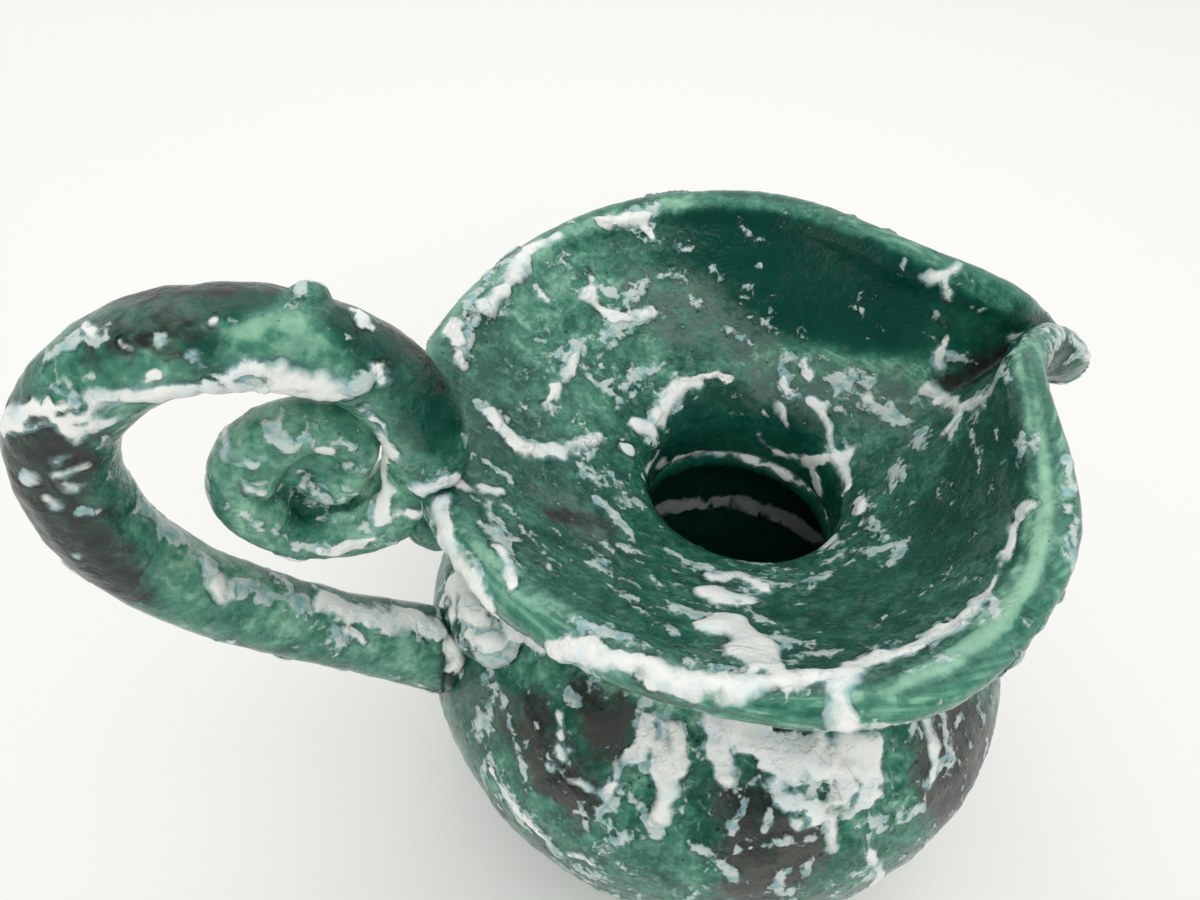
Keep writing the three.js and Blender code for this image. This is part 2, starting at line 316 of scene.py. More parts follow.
# Flakes: stretch of their noise, gain, and what draws them near or keeps them off.
SPUN_STRETCH = (0.45, 1.0, 1.0)
HUNG_STRETCH = (1.0, 1.0, 0.7)
FLAKE_SHAKE = 1.5
FLAKE_GAIN = 4.0
FLAKE_PATCH = 0.7
FLAKE_NEAR_WHITE = 0.2
NEAR_WHITE_REACH = 4.5
FLAKE_INSIDE = 8
FLAKE_HEIGHT = 0.35
FLAKE_UNEVEN = 0.5
FLAKE_FADE = (-0.4, 1.2)
BARE_FADE = (-3, 3)
MILK_LEAST = 0.75
MILK_SWELL = 1.1
MILK_RAGS = 1.7
MILK_TORN = 0.7

# Tones and zones of the green.
INSIDE_TONE = 0.34
LIP_STREAK = (0.03, 0.9, 0.9)
LIP_CALM = 0.75
DEEP_TONE = 0.1
DEEP_CALM = 0.8
TONE_FADE = (1.5, 0.5)
TONE_SWING = 0.2
TONE_RAGGED = 0.12
PALE_SHARE = 0.8
PALE_SWING = 0.2
GROOVE_SHADE = 0.2
NO_ZONE = -20.0
ZONE_RAGGED = 3.5
WILD_LIMIT = 0.22
WILD_SLOPE = 30
WILD_FRONT = 24
EDGE_CLEAN = 14
CALM_SMOOTHNESS = 0.75
FOOT_RISE = 4.0
FOOT_SHARE = 0.15

# Runs and pools of the thick white glaze, with a painted highlight and a painted reflection in the throat: radius and
# height in millimetres, then picture points.
BOWL_WHITE_AND_THROAT_REFLECTIONS = [
    (2.5, 1.4, [(440, 505), (449, 540), (468, 574), (489, 598), (515, 630), (547, 648)]),
    (2.8, 1.5, [(547, 646), (587, 653), (631, 664), (675, 680), (738, 686), (800, 682)]),
    (2.6, 1.2, [(800, 682), (850, 674), (885, 659), (930, 643), (960, 628)]),
    (1.9, 0.9, [(960, 626), (985, 604)]),
    (2.3, 1.2, [(838, 674), (842, 698), (845, 724)]),
    (1.2, 0.8, [(488, 505), (490, 535), (505, 565), (514, 586)]),
    (5.4, 1.7, [(714, 630), (734, 628), (748, 644), (758, 668)]),
    (3.2, 1.2, [(702, 598), (722, 600), (744, 604)]),
    (2.6, 1.1, [(712, 582), (740, 580), (762, 592)]),
    (3.5, 1.3, [(638, 428), (646, 432)]),
    (3.3, 1.1, [(655, 416), (664, 404), (676, 392), (694, 384)]),
    (1.1, 0.7, [(700, 376), (716, 374), (728, 380)]),
    (1.8, 0.9, [(618, 448), (628, 452)]),
    (1.3, 0.8, [(655, 452), (644, 470)]),
    # Painted highlight: a white line along the back edge of the throat.
    (1.5, 0.6, [(654, 466), (690, 453), (730, 453), (770, 466), (800, 482)]),
    # Painted reflection: a pale streak on the dark wall seen through the throat.
    (3.4, 0.3, [(660, 510), (700, 500), (740, 502), (790, 520), (828, 546)]),
    (1.6, 1.0, [(783, 378), (790, 390), (806, 398), (824, 412), (832, 428), (835, 446), (840, 456)]),
    (1.3, 0.8, [(803, 364), (810, 382)]),
    (2.0, 1.0, [(806, 458), (822, 462), (838, 458), (850, 452)]),
    (1.4, 0.8, [(816, 464), (819, 478), (822, 492)]),
    (1.5, 0.8, [(842, 462), (848, 478), (850, 490)]),
    (0.9, 0.7, [(762, 434), (774, 450), (790, 454), (806, 458)]),
    (1.5, 0.8, [(866, 392), (868, 398)]),
    (1.0, 0.7, [(778, 404), (786, 424)]),
    (1.9, 1.0, [(861, 505), (866, 511)]),
    (2.9, 1.2, [(490, 420), (498, 432)]),
    (3.0, 1.2, [(498, 432), (514, 450), (532, 456), (556, 452)]),
    (2.5, 1.1, [(556, 452), (576, 445), (594, 438)]),
    (2.2, 1.2, [(459, 318), (452, 345), (462, 372)]),
    (1.9, 1.1, [(430, 484), (466, 489), (498, 493)]),
    (2.6, 1.1, [(523, 258), (515, 272), (506, 286), (494, 300), (484, 311)]),
    (1.9, 0.9, [(526, 252), (545, 245), (560, 242)]),
    (2.6, 1.0, [(602, 221), (625, 219), (644, 218)]),
    (1.7, 0.9, [(640, 222), (652, 240)]),
    (1.9, 1.0, [(588, 283), (588, 300), (604, 317), (626, 318), (650, 311)]),
    (1.4, 0.8, [(532, 288), (548, 302)]),
    (1.5, 1.0, [(578, 354), (570, 372), (555, 391), (546, 408)]),
    (1.5, 0.9, [(925, 277), (955, 268)]),
    (1.3, 0.8, [(945, 275), (951, 298)]),
    (1.3, 0.8, [(942, 322), (942, 345), (934, 358), (940, 368)]),
    (1.4, 0.8, [(1008, 334), (1024, 330)]),
    (2.6, 1.1, [(928, 388), (942, 402), (962, 409), (986, 402)]),
    (1.6, 0.8, [(964, 412), (950, 432)]),
    (1.5, 0.9, [(1028, 505), (1018, 545), (1003, 570), (990, 592)]),
    (1.1, 1.0, [(1056, 336), (1070, 344), (1078, 358)]),
]
BELLY_WHITE = [
    (3.2, 1.4, [(650, 724), (662, 756), (668, 790), (662, 812)]),
    (5.2, 1.8, [(720, 726), (760, 738), (810, 748)]),
    (4.6, 1.9, [(776, 760), (820, 768), (852, 772)]),
    (4.4, 1.7, [(846, 744), (872, 748), (862, 786), (846, 800)]),
    (2.6, 1.3, [(676, 730), (680, 768)]),
    (3.6, 1.4, [(716, 734), (720, 758), (730, 774)]),
    (2.2, 1.2, [(772, 786), (797, 818), (828, 804)]),
    (2.0, 1.1, [(800, 800), (832, 812), (828, 846)]),
    (1.2, 0.9, [(561, 715), (562, 740)]),
    (1.8, 1.5, [(560, 750), (562, 754)]),
    (1.2, 0.9, [(552, 765), (580, 780), (605, 792), (618, 780)]),
    (1.9, 1.0, [(620, 772), (640, 746), (653, 724)]),
    (1.6, 1.0, [(922, 720), (934, 750), (928, 788)]),
    (2.4, 1.2, [(872, 852), (878, 872), (868, 892)]),
    (1.5, 1.0, [(494, 772), (520, 808), (550, 840)]),
    (1.5, 1.0, [(570, 852), (598, 860)]),
    (4.6, 1.1, [(456, 582), (466, 600), (478, 616)]),
    (3.2, 1.0, [(446, 604), (456, 612)]),
    (3.2, 1.0, [(474, 634), (498, 640)]),
    (2.8, 1.0, [(448, 644), (456, 664)]),
]
HANDLE_WHITE = [
    (4.4, 1.6, [(222, 382), (250, 374), (276, 375), (306, 382), (332, 388)]),
    (2.6, 1.3, [(96, 402), (132, 393), (172, 388), (212, 382)]),
    (2.6, 1.2, [(4, 424), (30, 420), (52, 412), (82, 408)]),
    (1.8, 1.0, [(74, 426), (96, 420), (112, 416)]),
    (1.2, 0.8, [(374, 372), (378, 384)]),
    (1.4, 0.8, [(84, 328), (104, 330)]),
    (0.9, 0.6, [(125, 338), (128, 344)]),
    (0.9, 0.6, [(188, 350), (200, 362)]),
    (0.8, 0.6, [(148, 380), (156, 370)]),
    (0.8, 0.5, [(206, 323), (212, 320)]),
    (1.2, 0.7, [(51, 454), (56, 455)]),
    (1.0, 0.7, [(64, 482), (76, 486)]),
    (1.2, 0.8, [(10, 396), (22, 366)]),
    (1.3, 0.7, [(27, 468), (31, 482)]),
    (1.3, 0.7, [(66, 474), (84, 464)]),
    (1.1, 0.7, [(46, 496), (54, 506)]),
    (1.0, 0.7, [(78, 552), (84, 562)]),
    (1.3, 0.8, [(192, 552), (208, 572)]),
    (2.6, 1.1, [(212, 582), (224, 594)]),
    (3.4, 1.2, [(322, 604), (348, 618), (376, 622)]),
    (3.6, 1.3, [(376, 622), (402, 624), (436, 632)]),
    (1.6, 0.9, [(344, 632), (360, 644)]),
    (1.1, 0.8, [(352, 312), (366, 326)]),
    (1.5, 0.9, [(368, 409), (383, 425), (393, 446)]),
    (2.0, 1.1, [(393, 446), (388, 472), (390, 502), (387, 516)]),
    (1.7, 0.9, [(383, 532), (360, 544), (327, 548)]),
    (1.5, 0.9, [(397, 512), (423, 510)]),
    (1.4, 0.8, [(231, 432), (227, 452)]),
    (1.4, 0.8, [(320, 447), (328, 449)]),
    (0.8, 0.7, [(318, 465), (300, 470), (284, 482), (268, 494), (250, 490), (240, 482)]),
    (1.0, 0.6, [(328, 484), (332, 478)]),
    (2.5, 1.4, [(420, 488), (446, 480)]),
]
# Thin milky flakes, blue where they thin out: radius in millimetres, then picture points.
MILKY = [
    (1.8, [(604, 294), (628, 304)]),
    (1.3, [(690, 300), (702, 312)]),
    (1.2, [(714, 268), (722, 276)]),
    (1.4, [(742, 300), (752, 314)]),
    (1.2, [(764, 320), (774, 332)]),
    (1.2, [(728, 332), (746, 340)]),
    (1.2, [(782, 346), (798, 354)]),
    (1.0, [(800, 326), (806, 340)]),
    (1.8, [(676, 384), (700, 374), (726, 376)]),
    (2.4, [(600, 290), (618, 298), (632, 292)]),
    (1.8, [(570, 224), (590, 222), (612, 218)]),
    (2.0, [(845, 668), (872, 658), (900, 646)]),
    (2.0, [(905, 645), (935, 633), (962, 622)]),
    (1.8, [(748, 612), (770, 626), (790, 650)]),
    (1.6, [(600, 630), (630, 640), (660, 656)]),
    (1.6, [(886, 622), (880, 630)]),
    (1.6, [(520, 244), (500, 262), (480, 284)]),
    (2.6, [(480, 408), (500, 440), (540, 446)]),
    (1.8, [(560, 450), (594, 438)]),
    (1.8, [(470, 500), (484, 520), (500, 552)]),
    (2.4, [(590, 380), (606, 392), (622, 402)]),
    (1.6, [(470, 458), (492, 470), (510, 484)]),
    (2.6, [(595, 500), (612, 516), (628, 536)]),
    (1.6, [(614, 548), (646, 558)]),
    (1.5, [(668, 554), (708, 572)]),
    (1.4, [(758, 620), (796, 656)]),
    (1.6, [(638, 610), (674, 636)]),
    (3.0, [(876, 410), (900, 420), (928, 448)]),
    (2.6, [(850, 552), (876, 556), (902, 548)]),
    (2.0, [(870, 520), (884, 542)]),
    (1.8, [(955, 622), (986, 607)]),
    (0.9, [(968, 297), (975, 312), (987, 308)]),
    (1.4, [(950, 354), (976, 362)]),
    (0.9, [(903, 256), (900, 270), (890, 283)]),
    (1.8, [(1067, 458), (1070, 510), (1064, 556)]),
    (2.4, [(1050, 336), (1066, 340), (1082, 356)]),
    (2.0, [(54, 361), (74, 346), (90, 331), (110, 328)]),
    (1.5, [(160, 342), (184, 352), (206, 362)]),
    (2.6, [(58, 352), (76, 350), (90, 342)]),
    (2.6, [(298, 297), (312, 296), (322, 299)]),
    (3.4, [(354, 380), (361, 382)]),
    (3.2, [(247, 372), (256, 374)]),
    (3.0, [(120, 456), (136, 500), (172, 536), (206, 566)]),
    (2.6, [(232, 590), (268, 596), (304, 602)]),
    (3.2, [(316, 602), (380, 612), (436, 626)]),
    (1.6, [(84, 508), (98, 502)]),
    (6.0, [(274, 438), (286, 440)]),
    (1.6, [(224, 458), (248, 466)]),
    (1.6, [(340, 496), (358, 490), (370, 484)]),
    (1.6, [(296, 546), (330, 548), (360, 542)]),
    (1.2, [(352, 516), (354, 520)]),
    (1.6, [(300, 422), (322, 430)]),
    (1.8, [(246, 512), (262, 526), (282, 534)]),
    (1.5, [(348, 468), (368, 472)]),
    (1.5, [(236, 474), (258, 484)]),
    (1.4, [(322, 520), (340, 526)]),
    (1.6, [(334, 440), (352, 446)]),
    (1.6, [(390, 672), (416, 680), (440, 690)]),
    (1.6, [(572, 688), (576, 702)]),
    (2.0, [(600, 806), (630, 790), (660, 830)]),
    (1.8, [(724, 776), (744, 800), (730, 826)]),
    (1.6, [(762, 780), (776, 804), (762, 826)]),
    (1.6, [(738, 846), (766, 844), (792, 838)]),
    (1.4, [(806, 836), (826, 828), (842, 812)]),
    (2.0, [(700, 850), (736, 876)]),
    (1.8, [(936, 706), (944, 750), (920, 800)]),
    (1.4, [(976, 700), (984, 740), (976, 790)]),
    (2.0, [(880, 830), (920, 806)]),
    (1.6, [(500, 690), (516, 730), (530, 790)]),
    (1.5, [(480, 740), (510, 790), (560, 850)]),
]
# Runs of green over the white: radius in millimetres, then picture points.
GREEN_RUNS = [
    (1.1, [(697, 718), (700, 750), (704, 782)]),
    (1.0, [(657, 712), (658, 732)]),
    (0.8, [(582, 664), (584, 672)]),
    (1.8, [(247, 372), (255, 374)]),
    (2.2, [(354, 380), (360, 382)]),
    (0.5, [(197, 374), (200, 392)]),
    (0.6, [(210, 372), (224, 378)]),
    (0.6, [(62, 413), (84, 402)]),
    (0.6, [(96, 412), (118, 402)]),
    (0.6, [(30, 428), (52, 420)]),
    (0.5, [(800, 778), (816, 784), (832, 782)]),
    (0.6, [(852, 776), (858, 782), (848, 802)]),
    (0.5, [(824, 804), (842, 808)]),
    (0.8, [(762, 776), (768, 798)]),
    (0.7, [(734, 772), (742, 786)]),
    (0.9, [(778, 728), (800, 734), (812, 730)]),
    (0.6, [(788, 812), (806, 814), (804, 832), (788, 832), (788, 812)]),
    (0.5, [(372, 630), (396, 638)]),
    (0.6, [(462, 602), (464, 622), (476, 630), (496, 624)]),
    (0.5, [(446, 628), (462, 624)]),
]
# Shallow grooves along the rim and the scroll: radius and depth in millimetres, then picture points.
GROOVES = [
    (0.9, 0.45, [(1030, 350), (1044, 400), (1053, 460), (1056, 520),
                (1046, 580), (1018, 630), (962, 672), (900, 698)]),
    (0.9, 0.40, [(880, 703), (820, 712), (760, 717), (700, 708), (640, 690), (600, 676)]),
    (0.7, 0.35, [(1024, 352), (1034, 420), (1038, 500), (1024, 570), (990, 620), (930, 660), (860, 690)]),
    (0.5, 0.50, [(1030, 458), (1046, 464), (1058, 462)]),
    (0.7, 0.80, [(446, 650), (445, 674), (444, 698)]),
    (1.5, 1.90, [(378, 486), (367, 495), (350, 505), (333, 505), (317, 490), (304, 477)]),
    (1.5, 1.40, [(352, 462), (333, 469), (317, 470), (302, 476)]),
    (3.4, 2.00, [(297, 482), (299, 496), (305, 510)]),
    (6.5, 1.60, [(290, 478), (298, 496), (308, 514)]),
    (1.2, 0.70, [(286, 488), (268, 502), (250, 498), (238, 488)]),
    (0.9, 0.60, [(372, 412), (384, 432), (384, 460), (380, 490)]),
]
# Round drops that stand proud of the surface.
DROPS = [
    (3.8, 2.4, [(306, 298), (313, 298)]),
    (3.2, 1.2, [(356, 381), (359, 383)]),
    (1.6, 1.2, [(356, 318), (362, 322)]),
    (4.4, 2.0, [(470, 610), (476, 614)]),
    (3.6, 1.0, [(456, 586), (462, 594)]),
    (3.0, 1.0, [(449, 570), (451, 574)]),
    (3.0, 1.0, [(482, 634), (494, 638)]),
    (2.8, 1.0, [(452, 648), (455, 660)]),
    (2.4, 1.6, [(1074, 350), (1080, 358)]),
    (6.0, 2.2, [(806, 762), (812, 766)]),
    (4.6, 1.5, [(752, 748), (758, 752)]),
    (4.2, 1.4, [(846, 772), (850, 778)]),
    (2.0, 1.4, [(224, 548), (238, 552)]),
]
# Brown-black zones, where the glaze ran thin over dark clay: radius in millimetres, then picture points.
DARK_ZONES = [
    (9.5, [(40, 446), (44, 492), (74, 546), (104, 580)]),
    (4.2, [(392, 330), (420, 356), (436, 380)]),
    (3.0, [(112, 344), (150, 334), (190, 336)]),
    (2.5, [(120, 302), (200, 293), (286, 290)]),
    (8.0, [(534, 726), (556, 770), (576, 800)]),
    (7.0, [(592, 702), (614, 736)]),
    (5.0, [(734, 796), (768, 806)]),
    (9.5, [(752, 850), (796, 856), (748, 884)]),
    (11.0, [(942, 728), (966, 724), (984, 752), (962, 806), (936, 772)]),
    (4.5, [(950, 382), (984, 366), (1004, 356)]),
    (2.2, [(444, 648), (446, 692)]),
    (4.0, [(560, 520), (600, 530)]),
]
# Grey zones, where thin green lies over the clay: radius in millimetres, then picture points.
HAZE_ZONES = [
    (9.0, [(770, 378), (830, 392), (900, 404)]),
    (8.0, [(690, 296), (736, 334), (760, 352)]),
    (6.0, [(552, 504), (590, 534)]),
    (7.0, [(640, 290), (676, 330)]),
    (6.0, [(470, 690), (500, 710)]),
    (6.0, [(120, 322), (170, 312)]),
]
# Depth of the green by place, with painted highlights along the lip and on the handle's top: tone (0 deep, 1 pale),
# radius in millimetres, then picture points.
TONE_AND_HIGHLIGHT_ZONES = [
    (0.05, 21.0, [(736, 230), (800, 238), (880, 266), (950, 300), (1000, 330)]),
    (0.09, 13.0, [(760, 296), (820, 318), (880, 328), (940, 340)]),
    (0.36, 13.0, [(960, 336), (1000, 370), (1000, 440)]),
    (0.72, 20.0, [(540, 300), (600, 330), (660, 330)]),
    (0.62, 15.0, [(560, 400), (600, 360)]),
    (0.50, 12.0, [(700, 340), (730, 370)]),
    (0.42, 15.0, [(560, 500), (590, 560), (640, 600)]),
    (0.38, 16.0, [(800, 640), (880, 610), (930, 560)]),
    (0.16, 9.0, [(680, 436), (720, 416), (790, 430), (820, 480)]),
    (0.22, 13.0, [(960, 530), (990, 460)]),
    (0.76, 9.0, [(770, 366), (840, 378), (900, 384), (930, 386)]),
    # Painted highlight: a pale band along the handle's top where the lamp is mirrored, brightest along its middle.
    (0.80, 5.2, [(206, 344), (260, 328), (310, 336), (338, 352)]),
    (0.94, 1.6, [(236, 330), (270, 324), (300, 330)]),
    (0.24, 7.0, [(360, 330), (400, 360), (440, 420)]),
    (0.34, 4.2, [(104, 334), (150, 316), (210, 302), (250, 297)]),
    (0.38, 4.4, [(110, 352), (160, 346), (196, 352)]),
    (0.74, 6.0, [(60, 400), (110, 376), (150, 358)]),
    (0.74, 7.0, [(140, 540), (240, 600), (380, 640), (436, 664)]),
    (0.78, 11.0, [(250, 470), (280, 425), (340, 430), (370, 490), (330, 530), (270, 515)]),
    (0.48, 12.0, [(480, 700), (500, 740)]),
    (0.60, 14.0, [(600, 840), (660, 870)]),
    (0.62, 12.0, [(890, 780), (870, 850)]),
    (0.74, 3.4, [(458, 520), (486, 562), (520, 594), (566, 624)]),
    (0.68, 3.4, [(590, 682), (640, 700), (700, 716), (760, 722), (830, 714), (900, 692)]),
    (0.95, 3.6, [(900, 692), (960, 660), (1012, 612), (1042, 548), (1048, 470), (1040, 400), (1026, 350)]),
    # Painted highlights: thin pale lines along the crest of the lip, on the right, at the front and on the near left.
    (1.0, 1.3, [(1034, 400), (1044, 460), (1047, 520), (1036, 576), (1006, 626), (950, 664)]),
    (0.96, 1.2, [(600, 682), (660, 700), (720, 713), (790, 715), (860, 701)]),
    (1.0, 1.1, [(470, 540), (500, 578), (530, 604)]),
    (0.84, 2.8, [(448, 332), (476, 291), (525, 256), (584, 227), (643, 212), (700, 201)]),
    (0.62, 2.4, [(700, 200), (780, 206), (860, 230), (936, 263), (1005, 306)]),
]
# All strokes by use, and the same ones once they are laid on the solids.
STROKE_TABLES = {
    "white": BOWL_WHITE_AND_THROAT_REFLECTIONS + BELLY_WHITE + HANDLE_WHITE,
    "milky": MILKY,
    "green": GREEN_RUNS,
    "grooves": GROOVES,
    "drops": DROPS,
    "dark": DARK_ZONES,
    "haze": HAZE_ZONES,
    "tone": TONE_AND_HIGHLIGHT_ZONES,
}
LAID_STROKES = {}


def pixel_ray(x, y):
    """Unit direction of the photo's ray through a picture point."""
    focal = LENS / SENSOR * IMAGE[0]
    across = (x - IMAGE[0] / 2) / focal
    upward = (IMAGE[1] / 2 - y) / focal
    return (Vector(EYE_RIGHT) * across + Vector(EYE_UP) * upward - Vector(EYE_BACK)).normalized()


def surface_tree():
    """One search tree over all solids of the frame."""
    points, faces = [], []
    for node in frame["nodes"].values():
        start = len(points)
        points.extend(vertex.co.copy() for vertex in node.data.vertices)
        faces.extend(tuple(start + index for index in face.vertices) for face in node.data.polygons)
    return BVHTree.FromPolygons(points, faces)


def cast_stroke(tree, pixels):
    """Lays a line of picture points on the surface; gives runs of (points, normals) in millimetres."""
    eye = Vector(EYE)
    runs, points, normals = [], [], []
    for (x0, y0), (x1, y1) in zip(pixels[:-1], pixels[1:]):
        count = max(1, int(math.hypot(x1 - x0, y1 - y0) / STROKE_STEP))
        for step in range(count + 1):
            share = step / count
            ray = pixel_ray(x0 + (x1 - x0) * share, y0 + (y1 - y0) * share)
            hit, normal, _, _ = tree.ray_cast(eye, ray)
            if hit is None:
                continue
            place = np.array(hit) / MM
            if points and np.linalg.norm(place - points[-1]) > STROKE_BREAK:
                runs.append((np.array(points), np.array(normals)))
                points, normals = [], []
            points.append(place)
            normals.append(np.array(normal))
    if points:
        runs.append((np.array(points), np.array(normals)))
    return runs


def laid_strokes(name):
    """Strokes of one table, all cast once on the solids and shared by every piece."""
    if not LAID_STROKES:
        tree = surface_tree()
        for key, rows in STROKE_TABLES.items():
            LAID_STROKES[key] = [(*row[:-1], cast_stroke(tree, row[-1])) for row in rows]
    return LAID_STROKES[name]


def lattice_noise(places, seed):
    """Smooth gradient noise in about -1 to 1, the same on every run."""
    cell = np.floor(places).astype(np.int64)
    part = places - cell
    ease = part * part * part * (part * (part * 6 - 15) + 10)
    total = np.zeros(len(places))
    for corner in range(8):
        offset = np.array([corner & 1, corner >> 1 & 1, corner >> 2 & 1])
        mixed = (cell + offset) * np.array(CELL_PRIMES)
        key = (mixed[:, 0] ^ mixed[:, 1] ^ mixed[:, 2] ^ (seed * SEED_PRIME)) & WORD
        for _ in range(2):
            key = ((key >> 16) ^ key) * SCRAMBLE & WORD
        key = (key >> 16) ^ key
        bits = np.stack([key & SLOPE_BITS, key >> 10 & SLOPE_BITS, key >> 20 & SLOPE_BITS], 1)
        slope = bits / (SLOPE_BITS / 2) - 1
        weight = np.prod(np.where(offset == 1, ease, 1 - ease), axis=1)
        total += weight * np.sum(slope * (part - offset), axis=1)
    return total * NOISE_GAIN


def layered_noise(places, size, layers, seed):
    """Noise with finer layers; size is that of the largest lumps in millimetres."""
    total, strength, norm = np.zeros(len(places)), 1.0, 0.0
    for layer in range(layers):
        total += strength * lattice_noise(places / size + LAYER_SHIFT * layer, seed + layer)
        norm += strength
        strength *= LAYER_FALL
        size *= 0.5
    return total / norm


def noise_vectors(places, size, layers, seed):
    """Three noises at each place, as one vector."""
    return np.stack([layered_noise(places, size, layers, seed + axis) for axis in range(3)], 1)


def ease_between(low, high, values):
    """Smooth step from 0 at low to 1 at high."""
    share = np.clip((values - low) / (high - low), 0, 1)
    return share * share * (3 - 2 * share)


def stroke_distance(places, facing, runs):
    """Distance in millimetres to a stroke; the far side of a wall counts as further off."""
    best = np.full(len(places), FAR_OFF)
    for points, normals in runs:
        low, high = points.min(0) - STROKE_MARGIN, points.max(0) + STROKE_MARGIN
        near = np.flatnonzero(np.all((places > low) & (places < high), axis=1))
        if not len(near):
            continue
        here, turned = places[near], facing[near]
        found = np.full(len(near), FAR_OFF)
        ends = list(zip(points[:-1], points[1:], normals[:-1]))
        if not ends:
            ends = [(points[0], points[0] + TINY, normals[0])]
        for start, end, normal in ends:
            along = end - start
            share = np.clip((here - start) @ along / max(along @ along, TINY * MM), 0, 1)
            gap = np.linalg.norm(here - start - share[:, None] * along, axis=1)
            gap += FAR_SIDE * ease_between(*FAR_SIDE_FADE, turned @ normal)
            found = np.minimum(found, gap)
        best[near] = np.minimum(best[near], found)
    return best


def mesh_arrays(mesh):
    """Vertex places in millimetres, vertex normals and edges of a mesh."""
    count = len(mesh.vertices)
    places = np.empty(count * 3)
    mesh.vertices.foreach_get("co", places)
    facing = np.empty(count * 3)
    mesh.vertex_normals.foreach_get("vector", facing)
    edges = np.empty(len(mesh.edges) * 2, np.int32)
    mesh.edges.foreach_get("vertices", edges)
    return places.reshape(-1, 3) / MM, facing.reshape(-1, 3), edges.reshape(-1, 2)


def convexity(places, facing, edges, rounds):
    """How far each vertex stands proud of its smoothed neighbourhood, in millimetres."""
    count = len(places)
    both = np.concatenate([edges[:, 0], edges[:, 1]])
    other = np.concatenate([edges[:, 1], edges[:, 0]])
    degree = np.maximum(np.bincount(both, minlength=count), 1)
    smooth = places.copy()
    for _ in range(rounds):
        smooth = np.stack([np.bincount(both, smooth[other, axis], count) / degree for axis in range(3)], 1)
    return np.sum((places - smooth) * facing, axis=1)


def away_from_photo(places, facing):
    """1 where a surface turns its back to the photo's camera, 0 where it faces it."""
    look = np.array(EYE) / MM - places
    look /= np.linalg.norm(look, axis=1)[:, None]
    return ease_between(*AWAY_FADE, np.sum(look * facing, axis=1))


def inside_pot(places, facing):
    """1 on the walls inside the belly and the throat, where no white glaze was poured."""
    centre = places - np.array([0, 0, BELLY_MIDDLE])
    inward = np.sum(centre * facing, axis=1) < 0
    reach = np.where(places[:, 2] < THROAT_FOOT, BELLY_REACH, THROAT_REACH)
    within = np.hypot(places[:, 0], places[:, 1]) < reach
    return (inward & within & (places[:, 2] < THROAT_TOP)).astype(float)


def round_the_mouth(places):
    """Places seen along the rim: way round, way out and height, so that noise can run with the wheel."""
    out = np.hypot(places[:, 0], places[:, 1])
    way = np.arctan2(places[:, 1], places[:, 0]) * MOUTH_RADIUS
    return np.stack([way, out, places[:, 2]], 1)


class Ground:
    """Places and normals of one piece, with the noise that its glazes share."""

    def __init__(self, places, facing):
        warp = noise_vectors(places, *WARP)
        self.places = places
        self.facing = facing
        self.shake = noise_vectors(places, *SHAKE)
        self.swirl = places + SWIRL_WARP * warp
        self.wander = places + WANDER_WARP * warp + WANDER_SHAKE * self.shake
        self.swell = layered_noise(self.swirl, *SWELL)
        self.ragged = layered_noise(places, *RAGGED)
        self.torn = layered_noise(places, *TORN)
        self.away = away_from_photo(places, facing)
        self.inside = inside_pot(places, facing)

    def far_from(self, runs):
        """Wavering distance to a stroke, in millimetres."""
        return stroke_distance(self.wander, self.facing, runs)

    def noise(self, settings):
        """Layered noise on the plain places."""
        return layered_noise(self.places, *settings)

    def filled(self, value):
        """One value for every vertex."""
        return np.full(len(self.places), value)


def white_field(ground):
    """Cover of the thick white glaze, in millimetres in from its edge, and its height."""
    white = ground.filled(NO_COVER)
    height = ground.filled(0.0)
    pinch = layered_noise(ground.swirl, *PINCH)
    # The white strokes include a painted highlight and a painted reflection in the throat.
    for radius, thick, runs in laid_strokes("white"):
        slim = float(radius < THIN_RUN)
        uneven = POOL_UNEVEN if radius > POOL else RUN_UNEVEN
        rags = RAG_LEAST + (RAG_SHARE + RAG_THIN * slim) * radius
        reach = radius * (1.0 + uneven * ground.swell + RUN_PINCH * slim * pinch)
        reach = reach + ground.ragged * rags + TORN_SHARE * ground.torn
        cover = reach - ground.far_from(runs)
        height = np.where(cover > white, thick * (1 - RUN_LOSS * slim), height)
        white = np.maximum(white, cover)
    for radius, runs in laid_strokes("green"):
        white = np.minimum(white, ground.far_from(runs) - radius * (1 + POOL_UNEVEN * ground.swell))
    island = layered_noise(ground.swirl * ISLAND_STRETCH, *ISLANDS)
    island = (island - ISLAND_LIMIT - ISLAND_FRONT * (1 - ground.away)) * ISLAND_SLOPE
    island = np.where(ground.inside > 0.5, NO_COVER, island)
    height = np.where(island > white, ISLAND_HEIGHT, height)
    return np.maximum(white, island), height


def tone_field(ground, coat, edge):
    """Depth of the green, 0 deep to 1 pale, and how calm the glaze is."""
    calm = np.maximum(ground.inside, coat.calm)
    if coat.spun:
        calm = np.maximum(calm, LIP_CALM * edge)
    tone = coat.base_tone + TONE_SWING * ground.noise(TONE_DRIFT)
    # Some zones are painted highlights: pale bands along the lip and on the handle's top.
    for value, radius, runs in laid_strokes("tone"):
        near = ease_between(*TONE_FADE, ground.far_from(runs) / radius)
        tone += (value + TONE_RAGGED * ground.ragged - tone) * near
        if value < DEEP_TONE:
            calm = np.maximum(calm, DEEP_CALM * near)
    tone += (INSIDE_TONE - tone) * ground.inside
    tone += (coat.edge_tone - tone) * edge * (PALE_SHARE + PALE_SWING * ground.noise(PALE_BREAK))
    return np.clip(tone, 0, 1), calm


